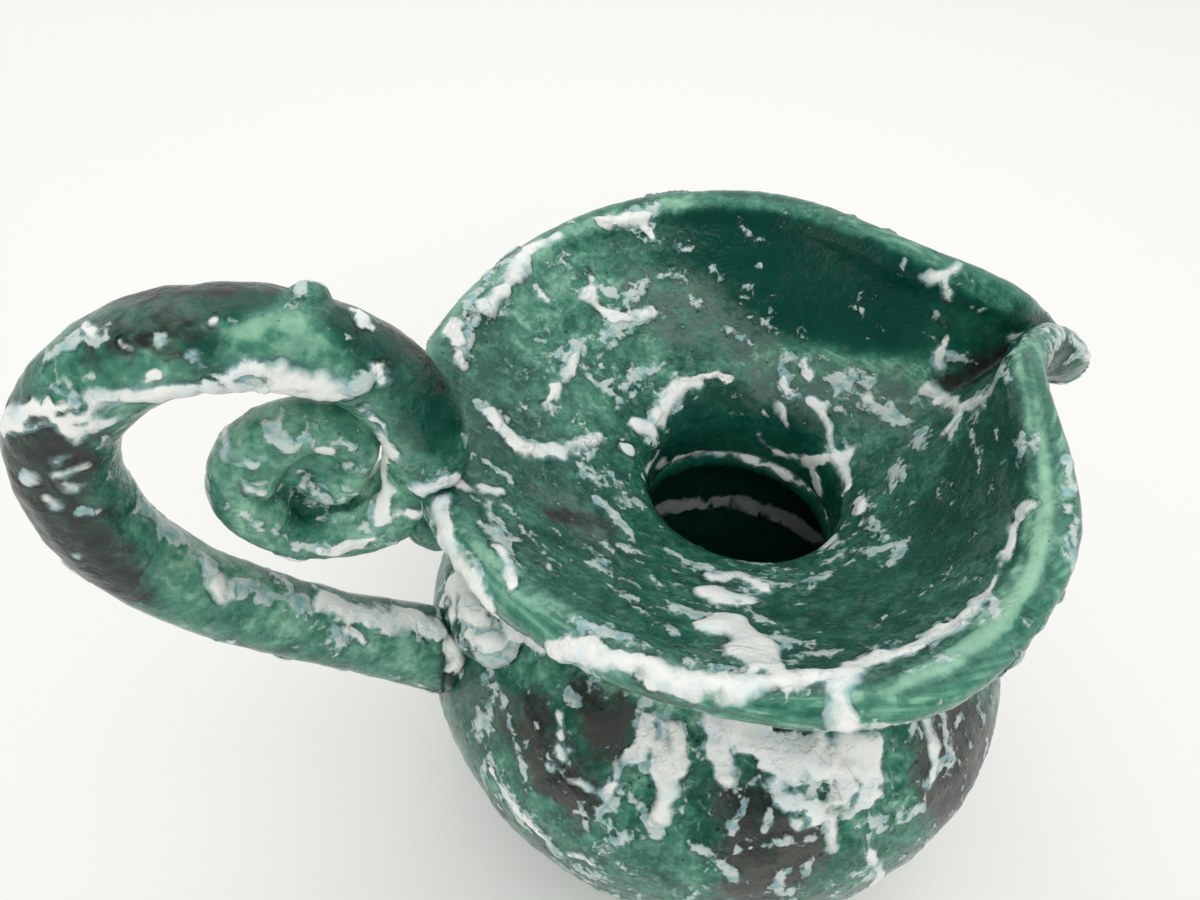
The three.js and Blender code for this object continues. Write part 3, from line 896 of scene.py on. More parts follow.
def zone_field(ground, name, edge_noise):
    """Reach of one table's ragged zones, in millimetres in from their edge."""
    zone = ground.filled(NO_ZONE)
    rough = ZONE_RAGGED * layered_noise(ground.swirl, *edge_noise)
    for radius, runs in laid_strokes(name):
        zone = np.maximum(zone, radius - stroke_distance(ground.places, ground.facing, runs) + rough)
    return zone


def dark_field(ground):
    """Reach of the dark clay: zones that the photo shows, and wild ones on the sides it doesn't show."""
    wild = (layered_noise(ground.swirl, *WILD_DARK) - WILD_LIMIT) * WILD_SLOPE
    wild -= WILD_FRONT * (1 - ground.away)
    wild = np.where(ground.inside > 0.5, NO_ZONE, wild)
    return np.maximum(zone_field(ground, "dark", DARK_EDGE), wild)


def flake_field(ground, coat, white, dark, calm):
    """Cover of the thin milky flakes, in millimetres in from their edge."""
    if coat.spun:
        grain = round_the_mouth(ground.places) * SPUN_STRETCH
    else:
        grain = ground.swirl * HUNG_STRETCH
    size = coat.fleck_size / MM
    flake = layered_noise(grain + FLAKE_SHAKE * ground.shake, size, *FLAKE_LAYERS)
    patch = layered_noise(ground.swirl, size * PATCH_SIZE, *PATCH_LAYERS)
    close = np.exp(-np.clip(-white, 0, None) / NEAR_WHITE_REACH)
    cover = (flake - coat.fleck_limit + FLAKE_PATCH * patch + FLAKE_NEAR_WHITE * close) * FLAKE_GAIN
    cover = cover - FLAKE_INSIDE * ground.inside - calm - coat.bareness * ease_between(*BARE_FADE, dark)
    for radius, runs in laid_strokes("milky"):
        reach = radius * (MILK_LEAST + MILK_SWELL * ground.swell)
        reach = reach + MILK_RAGS * ground.ragged + MILK_TORN * ground.torn
        cover = np.maximum(cover, reach - ground.far_from(runs))
    return cover


def lay_glaze(piece, coat):
    """Moves a smooth skin's surface out into lumps, crusts and runs, and stores the glaze on it."""
    mesh = piece.data
    places, facing, edges = mesh_arrays(mesh)
    ground = Ground(places, facing)
    proud = convexity(places, facing, edges, coat.edge_rounds)
    edge = ease_between(coat.edge_low / MM, coat.edge_high / MM, proud)
    white, height = white_field(ground)
    tone, calm = tone_field(ground, coat, edge)
    dark = dark_field(ground)
    haze = zone_field(ground, "haze", HAZE_EDGE)
    flake = flake_field(ground, coat, white, dark, calm)
    dark -= EDGE_CLEAN * edge
    rough = coat.lump / MM * ground.noise(LUMPS) + coat.crust / MM * ground.noise(CRUST)
    rise = coat.skin / MM + (1 - CALM_SMOOTHNESS * calm) * rough
    body = 1 - np.exp(-np.clip(white + WHITE_START, 0, None) / EDGE_SOFTNESS)
    rise += height * body * (1 + WHITE_UNEVEN * ground.noise(WHITE_GRAIN))
    crisp = ease_between(*FLAKE_FADE, flake)
    rise += FLAKE_HEIGHT * crisp * (1 + FLAKE_UNEVEN * ground.noise(FLAKE_GRAIN))
    for radius, depth, runs in laid_strokes("grooves"):
        dent = np.exp(-np.square(stroke_distance(places, facing, runs) / radius))
        rise -= depth * dent
        tone -= GROOVE_SHADE * dent
    for radius, thick, runs in laid_strokes("drops"):
        gap = stroke_distance(places, facing, runs) / radius
        rise += thick * np.clip(1 - gap * gap, 0, 1)
    foot = ease_between(0.0, FOOT_RISE, places[:, 2])
    moved = places + facing * (rise * (FOOT_SHARE + (1 - FOOT_SHARE) * foot))[:, None]
    moved[:, 2] = np.maximum(moved[:, 2], 0.0)
    mesh.vertices.foreach_set("co", (moved * MM).ravel())
    stores = {
        "white_cover": np.clip(white, NO_COVER, -NO_COVER),
        "flake_cover": np.clip(flake, NO_COVER, -NO_COVER),
        "dark_cover": np.clip(dark, NO_ZONE, -NO_ZONE),
        "haze_cover": np.clip(haze, NO_ZONE, -NO_ZONE),
        "tone": np.clip(tone, 0, 1),
        "calm": calm,
    }
    for name, values in stores.items():
        layer = mesh.attributes.new(name, "FLOAT", "POINT")
        layer.data.foreach_set("value", values.astype(np.float32))
    if coat.spun:
        layer = mesh.attributes.new("spin", "FLOAT_VECTOR", "POINT")
        layer.data.foreach_set("vector", (round_the_mouth(places) * LIP_STREAK).astype(np.float32).ravel())
    mesh.update()


def apply_modifier(obj, kind, name, **values):
    """Adds a modifier to the active object, sets it and applies it."""
    modifier = obj.modifiers.new(name, kind)
    for key, value in values.items():
        setattr(modifier, key, value)
    bpy.ops.object.modifier_apply(modifier=name)


def scroll_heart():
    """Flat lump of clay that closes the eye of the scroll."""
    eye, look = Vector(EYE), pixel_ray(*SCROLL_EYE)
    centre = eye - look * (eye.y / look.y)
    bpy.ops.mesh.primitive_uv_sphere_add(segments=32, ring_count=16, radius=1.0, location=centre)
    heart = bpy.context.active_object
    heart.scale = SCROLL_HEART
    bpy.ops.object.transform_apply(location=True, rotation=True, scale=True)
    return heart


def smooth_skin(nodes, name, coat, lump=None):
    """Copies solids, merges them into one closed skin and smooths their facets away."""
    bpy.ops.object.select_all(action="DESELECT")
    for node in nodes:
        frame["nodes"][node].select_set(True)
    bpy.context.view_layer.objects.active = frame["nodes"][nodes[0]]
    bpy.ops.object.duplicate()
    bpy.ops.object.parent_clear(type="CLEAR_KEEP_TRANSFORM")
    for copy in bpy.context.selected_objects:
        for key in list(copy.keys()):
            del copy[key]
    if lump:
        lump.select_set(True)
    if len(bpy.context.selected_objects) > 1:
        bpy.ops.object.join()
    piece = bpy.context.view_layer.objects.active
    piece.name = name
    piece.data.name = name
    piece.data.materials.clear()
    bpy.ops.object.mode_set(mode="EDIT")
    bpy.ops.mesh.select_all(action="SELECT")
    bpy.ops.mesh.remove_doubles(threshold=TINY)
    bpy.ops.object.mode_set(mode="OBJECT")
    apply_modifier(piece, "DISPLACE", "Close Seams", strength=coat.swell, mid_level=0.0)
    apply_modifier(piece, "REMESH", "Even Skin", mode="VOXEL", voxel_size=coat.voxel, use_smooth_shade=True)
    apply_modifier(piece, "SMOOTH", "Soften", factor=0.5, iterations=coat.smooth_rounds)
    return piece


def thin_inside(piece):
    """Thins the faces inside the pot, which stay smooth and are hardly seen."""
    places, facing, _ = mesh_arrays(piece.data)
    hidden = np.flatnonzero(inside_pot(places, facing) > 0.5)
    group = piece.vertex_groups.new(name="inside")
    group.add(hidden.tolist(), 1.0, "REPLACE")
    kept = 1 - THINNED_INSIDE * len(hidden) / len(places)
    apply_modifier(piece, "DECIMATE", "Thin Inside", ratio=kept, vertex_group="inside")
    piece.vertex_groups.clear()


def finish_piece(piece, material, slot, nodes):
    """Gives a piece its material, its slot and the solids that it stands for."""
    piece.data.materials.clear()
    piece.data.materials.append(material)
    bpy.ops.object.select_all(action="DESELECT")
    piece.select_set(True)
    bpy.context.view_layer.objects.active = piece
    bpy.ops.object.shade_smooth()
    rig.ride(piece, "root")
    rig.replaces(piece, *nodes)
    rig.slot(piece, slot)


class Wires:
    """Adds nodes to one tree; an operand is a socket, a number or a colour."""

    def __init__(self, tree, coordinates="Object"):
        self.tree = tree
        self.place = tree.nodes.new("ShaderNodeTexCoord").outputs[coordinates]

    def plug(self, value, socket):
        """Feeds a socket from another one, or sets its value."""
        if isinstance(value, bpy.types.NodeSocket):
            self.tree.links.new(value, socket)
        elif socket.type == "RGBA":
            socket.default_value = (*value, 1)
        else:
            socket.default_value = value

    def maths(self, operation, *operands):
        """One maths node."""
        node = self.tree.nodes.new("ShaderNodeMath")
        node.operation = operation
        for value, socket in zip(operands, node.inputs):
            self.plug(value, socket)
        return node.outputs[0]

    def times(self, first, second):
        """Product of two values."""
        return self.maths("MULTIPLY", first, second)

    def plus(self, first, second):
        """Sum of two values."""
        return self.maths("ADD", first, second)

    def scaled(self, value, factor, offset):
        """A value times a factor, plus an offset."""
        return self.maths("MULTIPLY_ADD", value, factor, offset)

    def fade(self, value, low, high):
        """Smooth mask that goes from 0 at low to 1 at high."""
        node = self.tree.nodes.new("ShaderNodeMapRange")
        node.interpolation_type = "SMOOTHSTEP"
        self.plug(value, node.inputs["Value"])
        self.plug(low, node.inputs["From Min"])
        self.plug(high, node.inputs["From Max"])
        return node.outputs["Result"]

    def noise(self, settings, place=None):
        """Noise in 0 to 1, on the piece's own coordinates unless a place is given."""
        node = self.tree.nodes.new("ShaderNodeTexNoise")
        self.plug(self.place if place is None else place, node.inputs["Vector"])
        for label, value in zip(("Scale", "Detail", "Distortion"), settings):
            self.plug(value, node.inputs[label])
        return node.outputs["Fac"]

    def swing(self, settings, place=None):
        """Noise that swings about zero; the last setting is its width."""
        width = settings[-1]
        return self.scaled(self.noise(settings, place), width, -width / 2)

    def patches(self, settings):
        """Mask of the places where noise is high; the last two settings are its bounds."""
        return self.fade(self.noise(settings), *settings[-2:])

    def mix(self, share, first, second):
        """Mixes two colours by a mask."""
        node = self.tree.nodes.new("ShaderNodeMix")
        node.data_type = "RGBA"
        for index, value in ((0, share), (6, first), (7, second)):
            self.plug(value, node.inputs[index])
        return node.outputs[2]

    def stored(self, name, output="Fac"):
        """Reads one of the piece's own values."""
        node = self.tree.nodes.new("ShaderNodeAttribute")
        node.attribute_name = name
        return node.outputs[output]

    def group(self, name, **values):
        """Puts a node group in the tree and feeds its inputs; gives its outputs."""
        node = self.tree.nodes.new("ShaderNodeGroup")
        node.node_tree = bpy.data.node_groups[name]
        for label, value in values.items():
            self.plug(value, node.inputs[label])
        return node.outputs


def start_group(name, inputs, outputs):
    """New node group with its sockets; gives its wires, what goes in and what comes out."""
    tree = bpy.data.node_groups.new(name, "ShaderNodeTree")
    for way, labels in (("INPUT", inputs), ("OUTPUT", outputs)):
        for label in labels:
            kind = "NodeSocketColor" if label == "Color" else "NodeSocketFloat"
            tree.interface.new_socket(label, in_out=way, socket_type=kind)
    given = tree.nodes.new("NodeGroupInput").outputs
    result = tree.nodes.new("NodeGroupOutput").inputs
    return Wires(tree), given, result


def green_mottle_group(colours):
    """Green glaze that deepens where it is thick and breaks pale where it is thin; its tone also carries painted
    highlights.
    """
    wires, given, result = start_group("Green Mottle", ["Tone", "Calm"], ["Color"])
    shift = wires.plus(wires.plus(wires.swing(BROAD), wires.swing(MIDDLE)), wires.swing(FINE))
    lively = wires.scaled(given["Calm"], *CALM_MOTTLE)
    lively = wires.scaled(wires.fade(given["Tone"], *PALE_FADE), PALE_MOTTLE, lively)
    tone = wires.plus(given["Tone"], wires.times(shift, lively))
    ramp = wires.tree.nodes.new("ShaderNodeValToRGB")
    wires.plug(tone, ramp.inputs["Fac"])
    stops = ramp.color_ramp.elements
    stops[0].color = (*colours.deep, 1)
    stops[1].color = (*colours.pale, 1)
    middle_stops = ((BOTTLE_STOP, colours.bottle), (GREEN_STOP, colours.green), (LEAF_STOP, colours.leaf))
    for position, colour in middle_stops:
        stops.new(position).color = (*colour, 1)
    veil = wires.times(wires.patches(VEILS), wires.fade(given["Tone"], *VEIL_TONES))
    veil = wires.times(wires.times(veil, lively), VEIL_SHARE)
    wires.plug(wires.mix(veil, ramp.outputs["Color"], colours.veil), result["Color"])


def crawl_edge_group():
    """Masks for the white glaze, its blue fringe and the dark line round its edge, which is partly a crack where the
    glaze has drawn back and partly painted shadow under its raised edge.
    """
    wires, given, result = start_group("Crawl Edge", ["Cover", "Flake"], ["White", "Fringe", "Milk", "Line"])
    ragged = wires.swing(EDGE_RAGS)
    cover = wires.scaled(ragged, COVER_RAGS, given["Cover"])
    flake = wires.plus(ragged, given["Flake"])
    soft = wires.patches(SOFT_EDGES)
    crisp = wires.times(wires.fade(cover, *CRISP_WHITE), wires.maths("SUBTRACT", 1.0, soft))
    wires.plug(wires.scaled(wires.fade(cover, *SOFT_WHITE), soft, crisp), result["White"])
    fringe = wires.times(wires.fade(cover, *FRINGE_FADE), wires.patches(FRINGE_GAPS))
    wires.plug(fringe, result["Fringe"])
    wires.plug(wires.fade(flake, *MILK_FADE), result["Milk"])
    # Dark line just outside the white and round the flakes: a crack where the glaze drew back, with painted shadow
    # under the raised edge.
    line = wires.times(wires.fade(cover, *LINE_OUTER), wires.fade(cover, *LINE_INNER))
    rim = wires.times(wires.fade(flake, *RIM_OUTER), wires.fade(flake, *RIM_INNER))
    line = wires.maths("MAXIMUM", line, wires.times(rim, RIM_SHARE))
    wires.plug(wires.times(line, wires.patches(LINE_GAPS)), result["Line"])


def glaze_skin_group():
    """Fine surface of the glaze: orange peel, burst bubbles and pinholes."""
    wires, given, result = start_group("Glaze Skin", ["Size"], ["Height", "Pits"])
    cells = wires.tree.nodes.new("ShaderNodeTexVoronoi")
    wires.plug(wires.place, cells.inputs["Vector"])
    wires.plug(PIT_CELLS, cells.inputs["Scale"])
    chosen = wires.tree.nodes.new("ShaderNodeSeparateColor")
    wires.plug(cells.outputs["Color"], chosen.inputs[0])
    size = wires.times(chosen.outputs[1], given["Size"])
    near = wires.maths("SUBTRACT", size, cells.outputs["Distance"])
    pits = wires.times(wires.fade(near, *PIT_FADE), wires.fade(chosen.outputs[0], *PIT_CHOICE))
    wires.plug(pits, result["Pits"])
    peel = wires.times(wires.noise(PEEL), PEEL_HEIGHT)
    waves = wires.times(wires.noise(WAVES), WAVE_HEIGHT)
    height = wires.maths("SUBTRACT", wires.plus(peel, waves), wires.times(pits, PIT_DEPTH))
    wires.plug(height, result["Height"])


def glaze_colour(wires, colours, edge, surface, calm, dark, cloudy, streaked, ashen):
    """Colour of the glaze: green, haze, dark clay, pinholes, milk, fringe and white, one over the other."""
    tone = wires.stored("tone")
    if streaked:
        streak = wires.swing(STREAKS, wires.stored("spin", "Vector"))
        streak = wires.times(streak, wires.fade(tone, *STREAK_TONES))
        tone = wires.plus(tone, wires.times(streak, wires.fade(calm, *STREAK_CALM)))
    green = wires.group("Green Mottle", Tone=tone, Calm=calm)["Color"]
    hazy = wires.fade(wires.scaled(cloudy, HAZE_CLOUDS, wires.stored("haze_cover")), *HAZE_FADE)
    hazy = wires.times(hazy, wires.scaled(wires.patches(HAZE_SPECKS), *HAZE_SPECKLED))
    clay = wires.mix(wires.patches(IRON_SPOTS), colours.clay, colours.iron)
    clay = wires.mix(wires.times(wires.patches(ASH_SPOTS), ashen), clay, colours.ash)
    pitted = wires.times(surface["Pits"], wires.scaled(calm, *PIT_SHARE))
    # The dark line round the white is partly crack and partly painted shadow under its edge.
    crack_shadow = wires.times(edge["Line"], wires.scaled(wires.fade(tone, *LINE_TONES), *LINE_SHARE))
    milk = wires.mix(wires.patches(BLUE_SPOTS), colours.fringe, colours.milk)
    white = wires.mix(wires.patches(COOL_SPOTS), colours.white, colours.white_cool)
    colour = green
    for share, coat in (
        (hazy, colours.haze),
        (dark, clay),
        (pitted, colours.pit),
        (crack_shadow, colours.pit),
        (wires.times(edge["Milk"], MILK_SHARE), milk),
        (wires.times(edge["Fringe"], FRINGE_SHARE), colours.fringe),
        (edge["White"], white),
    ):
        colour = wires.mix(share, colour, coat)
    return colour


def glaze_material(name, colours, pit_size, bump, streaked=False, ashen=0.0):
    """Glossy fired glaze, coloured by the values stored on the piece."""
    if "Green Mottle" not in bpy.data.node_groups:
        green_mottle_group(colours)
        crawl_edge_group()
        glaze_skin_group()
    material = bpy.data.materials.new(name)
    material.use_nodes = True
    wires = Wires(material.node_tree)
    shader = material.node_tree.nodes["Principled BSDF"].inputs
    calm = wires.stored("calm")
    edge = wires.group("Crawl Edge", Cover=wires.stored("white_cover"), Flake=wires.stored("flake_cover"))
    surface = wires.group("Glaze Skin", Size=pit_size)
    cloudy = wires.swing(CLOUDS)
    dark = wires.fade(wires.plus(wires.stored("dark_cover"), cloudy), *DARK_FADE)
    dark = wires.times(dark, DARK_SHARE)
    colour = glaze_colour(wires, colours, edge, surface, calm, dark, cloudy, streaked, ashen)
    wires.plug(colour, shader["Base Color"])
    wires.plug(SPECULAR, shader["Specular IOR Level"])
    rough = wires.scaled(wires.noise(SHEEN_SPOTS), *SPOT_ROUGHNESS)
    rough = wires.scaled(edge["White"], WHITE_ROUGHNESS, rough)
    rough = wires.scaled(dark, DARK_ROUGHNESS, rough)
    wires.plug(wires.times(rough, wires.scaled(calm, *CALM_GLOSS)), shader["Roughness"])
    tall = surface["Height"]
    for mask, lift in EDGE_LIFTS.items():
        tall = wires.scaled(edge[mask], lift, tall)
    relief = material.node_tree.nodes.new("ShaderNodeBump")
    wires.plug(bump, relief.inputs["Strength"])
    wires.plug(BUMP_DEPTH, relief.inputs["Distance"])
    wires.plug(tall, relief.inputs["Height"])
    wires.plug(relief.outputs["Normal"], shader["Normal"])
    return material


def colour_property(name, description, default):
    """Colour setting."""
    return bpy.props.FloatVectorProperty(
        name=name, description=description, subtype="COLOR", size=3, min=0.0, max=1.0, default=default
    )


def number_property(name, description, default, **kind):
    """Number setting, with its unit or subtype where it has one."""
    return bpy.props.FloatProperty(name=name, description=description, default=default, **kind)


def length_property(name, description, default):
    """Length setting in metres."""
    return number_property(name, description, default, unit="LENGTH", subtype="DISTANCE", precision=5)


def factor_property(name, description, default):
    """Setting that runs from 0 to about 1."""
    return number_property(name, description, default, subtype="FACTOR")


def rounds_property(name, description, default):
    """Setting that counts rounds."""
    return bpy.props.IntProperty(name=name, description=description, min=1, default=default)


class EwerCoat(bpy.types.PropertyGroup):
    """Relief and spread of the glaze on one piece."""
    voxel: length_property("Grain", "Edge length of the skin's faces", 0.001)
    swell: length_property("Swell", "How far the solids grow, to close the seams between them", 0.0002)
    skin: length_property("Skin", "Thickness of the glaze over the clay", 0.0006)
    lump: length_property("Lumps", "Height of the broad lumps left by the hands", 0.0006)
    crust: length_property("Crust", "Height of the crusty grain of the glaze", 0.00036)
    fleck_size: length_property("Fleck Size", "Size of the small white flecks", 0.007)
    edge_low: length_property("Edge Start", "Standing-out at which the green starts to break pale", 0.0006)
    edge_high: length_property("Edge Full", "Standing-out at which the green is fully pale", 0.0011)
    fleck_limit: factor_property("Fleck Limit", "Higher leaves fewer white flecks", 0.34)
    base_tone: factor_property("Base Tone", "Depth of the green, 0 deep to 1 pale", 0.36)
    edge_tone: factor_property("Edge Tone", "Tone on edges that stand proud", 0.86)
    calm: factor_property("Calm", "How even and glossy the glaze is", 0.0)
    bareness: number_property("Bareness", "How far flakes stay off the dark clay", 1.5)
    smooth_rounds: rounds_property("Softening", "Rounds that smooth the solids' facets away", 30)
    edge_rounds: rounds_property("Edge Reach", "Rounds of smoothing that an edge is measured against", 30)
    spun: bpy.props.BoolProperty(
        name="Spun", description="Flakes lie along the rim, as on a turned bowl", default=False
    )


class EwerColours(bpy.types.PropertyGroup):
    """Colours of the glazes and of the stage."""
    deep: colour_property("Deep Green", "Green where the glaze is thickest", (0.0008, 0.050, 0.034))
    bottle: colour_property("Bottle Green", "Dark green", (0.004, 0.068, 0.046))
    green: colour_property("Green", "Middle green", (0.018, 0.118, 0.078))
    leaf: colour_property("Leaf Green", "Light green", (0.065, 0.235, 0.160))
    pale: colour_property("Pale Green", "Green where the glaze is thinnest", (0.30, 0.56, 0.40))
    veil: colour_property("Veil", "Milky haze on the green", (0.20, 0.34, 0.285))
    haze: colour_property("Haze", "Grey-green where thin glaze lies over the clay", (0.095, 0.155, 0.130))
    clay: colour_property("Dark Clay", "Brown-black clay under thin glaze", (0.020, 0.020, 0.017))
    ash: colour_property("Ash", "Dark clay under a thin grey veil", (0.085, 0.080, 0.074))
    iron: colour_property("Iron Green", "Dark patches with green in them", (0.022, 0.044, 0.034))
    # This colour also paints the dark line round the white, which is partly painted shadow.
    pit: colour_property("Pit", "Pinholes and cracks", (0.004, 0.012, 0.010))
    fringe: colour_property("Fringe", "Blue where the white thins out", (0.27, 0.48, 0.50))
    milk: colour_property("Milk", "Thin milky flakes", (0.62, 0.70, 0.68))
    white: colour_property("White", "Thick white glaze", (0.84, 0.855, 0.815))
    white_cool: colour_property("Cool White", "White with a breath of blue", (0.73, 0.80, 0.81))
    floor: colour_property("Floor", "Plain pale floor", (0.92, 0.915, 0.895))


class EwerStage(bpy.types.PropertyGroup):
    """Light and floor."""
    floor_size: length_property("Floor Size", "Side of the floor", 8.0)
    lamp_height: length_property("Lamp Height", "Height of the soft lamp over the floor", 1.5)
    lamp_size: length_property("Lamp Size", "Side of the soft lamp", 1.5)
    lamp_power: number_property("Lamp Power", "Power of the soft lamp", 6.2, unit="POWER")
    dimming: factor_property("Dimming", "How much darker mirrored light is on the viewer's side", 0.88)
    front: number_property("Front Light", "Extra soft light from the viewer's side", 4.2)
    sky: number_property("Sky", "Strength of the light all round", 0.70)


def coat_with(**values):
    """Fills the shared coat settings for the next piece."""
    coat = bpy.context.scene.ewer_coat
    for key in EwerCoat.__annotations__:
        coat.property_unset(key)
    for key, value in values.items():
        setattr(coat, key, value)
    return coat


class EWER_OT_belly(bpy.types.Operator):
    """Glazed belly, turned and left with the marks of hand and kiln"""
    bl_idname = "ewer.belly"
    bl_label = "Belly"

    def execute(self, context):
        coat = coat_with(
            voxel=0.00125, fleck_limit=0.31, fleck_size=0.0045, bareness=0.1, base_tone=0.52,
            edge_low=0.003, edge_high=0.006,
        )
        piece = smooth_skin(["belly"], "belly_skin", coat)
        thin_inside(piece)
        lay_glaze(piece, coat)
        colours = context.scene.ewer_colours
        material = glaze_material("belly_glaze", colours, pit_size=0.34, bump=0.55, ashen=0.75)
        finish_piece(piece, material, "green_glaze", ["belly"])
        return {"FINISHED"}


class EWER_OT_mouth(bpy.types.Operator):
    """Collar, funnel and rim under one run of glaze"""
    bl_idname = "ewer.mouth"
    bl_label = "Mouth"

    def execute(self, context):
        coat = coat_with(
            voxel=0.00106, swell=0.00035, fleck_limit=0.36, fleck_size=0.0042, base_tone=0.46,
            edge_tone=0.74, smooth_rounds=24, spun=True,
        )
        nodes = ["neck_collar", "mouth_funnel", "rim_coil"]
        piece = smooth_skin(nodes, "mouth_skin", coat)
        lay_glaze(piece, coat)
        colours = context.scene.ewer_colours
        material = glaze_material("mouth_glaze", colours, pit_size=0.30, bump=0.6, streaked=True)
        finish_piece(piece, material, "green_glaze", nodes)
        return {"FINISHED"}


class EWER_OT_handle(bpy.types.Operator):
    """Coiled handle with its scroll"""
    bl_idname = "ewer.handle"
    bl_label = "Handle"

    def execute(self, context):
        coat = coat_with(
            voxel=0.00062, swell=0.0004, fleck_limit=0.38, fleck_size=0.005, calm=0.25, base_tone=0.58,
            edge_low=0.004, edge_high=0.007, smooth_rounds=40,
        )
        piece = smooth_skin(["handle_coil"], "handle_skin", coat, scroll_heart())
        lay_glaze(piece, coat)
        material = glaze_material("handle_glaze", context.scene.ewer_colours, pit_size=0.32, bump=0.6)
        finish_piece(piece, material, "green_glaze", ["handle_coil"])
        return {"FINISHED"}


class EWER_OT_wads(bpy.types.Operator):
    """Wads of clay that hold the handle to the belly and the rim"""
    bl_idname = "ewer.wads"
    bl_label = "Wads"

    def execute(self, context):
        material = glaze_material("wad_glaze", context.scene.ewer_colours, pit_size=0.3, bump=0.5)
        coat = coat_with(
            voxel=0.0006, swell=0.0006, fleck_limit=0.10, base_tone=0.40,
            edge_low=0.004, edge_high=0.008, smooth_rounds=25,
        )
        for node in ("root_wad", "rim_wad"):
            piece = smooth_skin([node], node + "_skin", coat)
            lay_glaze(piece, coat)
            finish_piece(piece, material, "white_glaze", [node])
        return {"FINISHED"}


def lay_floor(stage, colours):
    """Plain pale floor."""
    bpy.ops.mesh.primitive_plane_add(size=stage.floor_size, location=(0, 0, 0))
    floor = bpy.context.active_object
    floor.name = "floor"
    paint = bpy.data.materials.new("floor_paint")
    paint.use_nodes = True
    shader = paint.node_tree.nodes["Principled BSDF"]
    shader.inputs["Base Color"].default_value = (*colours.floor, 1)
    shader.inputs["Roughness"].default_value = FLOOR_ROUGHNESS
    floor.data.materials.append(paint)
    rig.stage(floor)


def hang_lamp(stage):
    """Soft square lamp over the ewer."""
    bpy.ops.object.light_add(type="AREA", location=(*LAMP_PLACE, stage.lamp_height))
    lamp = bpy.context.active_object
    lamp.name = "soft_lamp"
    lamp.data.shape = "SQUARE"
    lamp.data.size = stage.lamp_size
    lamp.data.energy = stage.lamp_power
    lamp.rotation_euler = (Vector(LAMP_AIM) - lamp.location).to_track_quat("-Z", "Y").to_euler()


def light_sky(stage):
    """Even light all round: dimmer in reflections and brighter on matt surfaces from the viewer's side."""
    world = bpy.data.worlds.new("studio")
    world.use_nodes = True
    wires = Wires(world.node_tree, "Generated")
    sky = world.node_tree.nodes["Background"]
    sky.inputs["Color"].default_value = SKY_COLOUR
    ray = world.node_tree.nodes.new("ShaderNodeLightPath").outputs
    way = world.node_tree.nodes.new("ShaderNodeVectorMath")
    way.operation = "DOT_PRODUCT"
    wires.plug(wires.place, way.inputs[0])
    wires.plug(Vector(VIEWER_SIDE).normalized(), way.inputs[1])
    seen = wires.maths("MAXIMUM", ray["Is Camera Ray"], ray["Is Glossy Ray"])
    seen = wires.maths("MAXIMUM", seen, ray["Is Transmission Ray"])
    strength = wires.scaled(seen, SKY_SEEN - stage.sky, stage.sky)
    dim = wires.times(wires.fade(way.outputs["Value"], *DIM_FADE), stage.dimming)
    mirrored = wires.times(ray["Is Glossy Ray"], -1.0)
    strength = wires.times(strength, wires.scaled(dim, mirrored, 1.0))
    front = wires.times(wires.fade(way.outputs["Value"], *FRONT_FADE), stage.front)
    front = wires.times(front, ray["Is Diffuse Ray"])
    wires.plug(wires.scaled(strength, front, strength), sky.inputs["Strength"])
    bpy.context.scene.world = world


def place_camera():
    """The photo's camera."""
    bpy.ops.object.camera_add(location=EYE)
    camera = bpy.context.active_object
    camera.name = "photo_camera"
    camera.rotation_euler = Matrix((EYE_RIGHT, EYE_UP, EYE_BACK)).transposed().to_euler()
    camera.data.sensor_fit = "HORIZONTAL"
    camera.data.sensor_width = SENSOR
    camera.data.lens = LENS
    camera.data.clip_start = CLIP_START
    bpy.context.scene.camera = camera


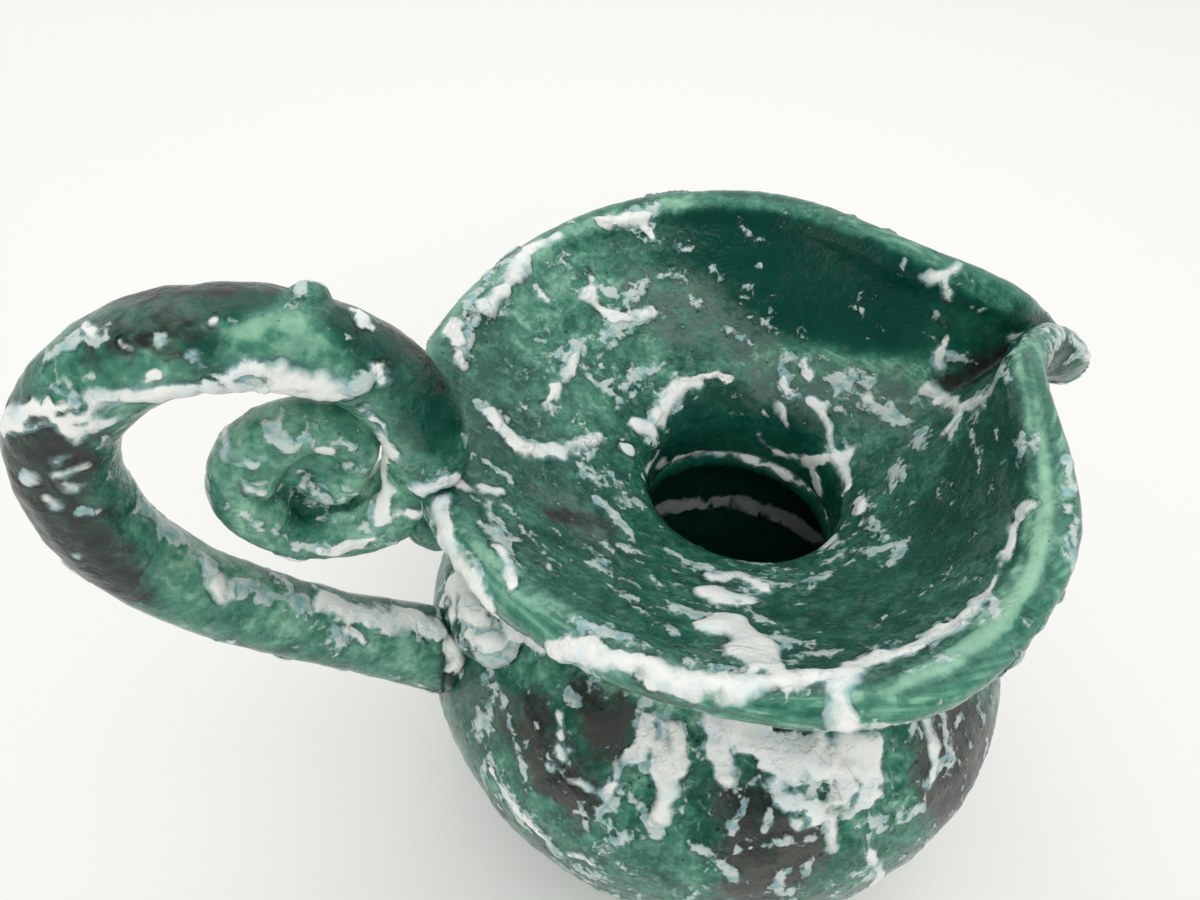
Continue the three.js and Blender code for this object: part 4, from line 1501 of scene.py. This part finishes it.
class EWER_OT_stage(bpy.types.Operator):
    """Plain pale floor, soft light and the photo's camera"""
    bl_idname = "ewer.stage"
    bl_label = "Stage"

    def execute(self, context):
        bpy.ops.object.select_all(action="DESELECT")
        lay_floor(context.scene.ewer_stage, context.scene.ewer_colours)
        hang_lamp(context.scene.ewer_stage)
        light_sky(context.scene.ewer_stage)
        place_camera()
        context.scene.view_settings.view_transform = "Standard"
        return {"FINISHED"}


class EWER_PT_panel(bpy.types.Panel):
    """Settings and steps of the ewer"""
    bl_idname = "EWER_PT_panel"
    bl_label = "Glazed Ewer"
    bl_space_type = "VIEW_3D"
    bl_region_type = "UI"
    bl_category = "Ewer"

    def draw(self, context):
        for group in (context.scene.ewer_coat, context.scene.ewer_colours, context.scene.ewer_stage):
            box = self.layout.box()
            for key in group.__annotations__:
                box.prop(group, key)
        for step in STEPS:
            self.layout.operator(step.bl_idname)


STEPS = (EWER_OT_stage, EWER_OT_belly, EWER_OT_mouth, EWER_OT_handle, EWER_OT_wads)
CLASSES = (EwerCoat, EwerColours, EwerStage) + STEPS + (EWER_PT_panel,)
SETTINGS = {"ewer_coat": EwerCoat, "ewer_colours": EwerColours, "ewer_stage": EwerStage}


def register():
    """Registers the classes and their settings."""
    for item in CLASSES:
        bpy.utils.register_class(item)
    for name, group in SETTINGS.items():
        setattr(bpy.types.Scene, name, bpy.props.PointerProperty(type=group))


def unregister():
    """Removes the classes and their settings."""
    for name in SETTINGS:
        delattr(bpy.types.Scene, name)
    for item in reversed(CLASSES):
        bpy.utils.unregister_class(item)


def main():
    """Makes the scene and writes down its size."""
    register()
    bpy.ops.ewer.stage()
    bpy.ops.ewer.belly()
    bpy.ops.ewer.mouth()
    bpy.ops.ewer.handle()
    bpy.ops.ewer.wads()
    low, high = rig.bounds()
    sizes = {"cad": [list(CAD_LOW), list(CAD_HIGH)], "visual": [list(low), list(high)]}
    with open(SIZE_FILE, "w") as file:
        json.dump(sizes, file)


if __name__ == "__main__":
    main()
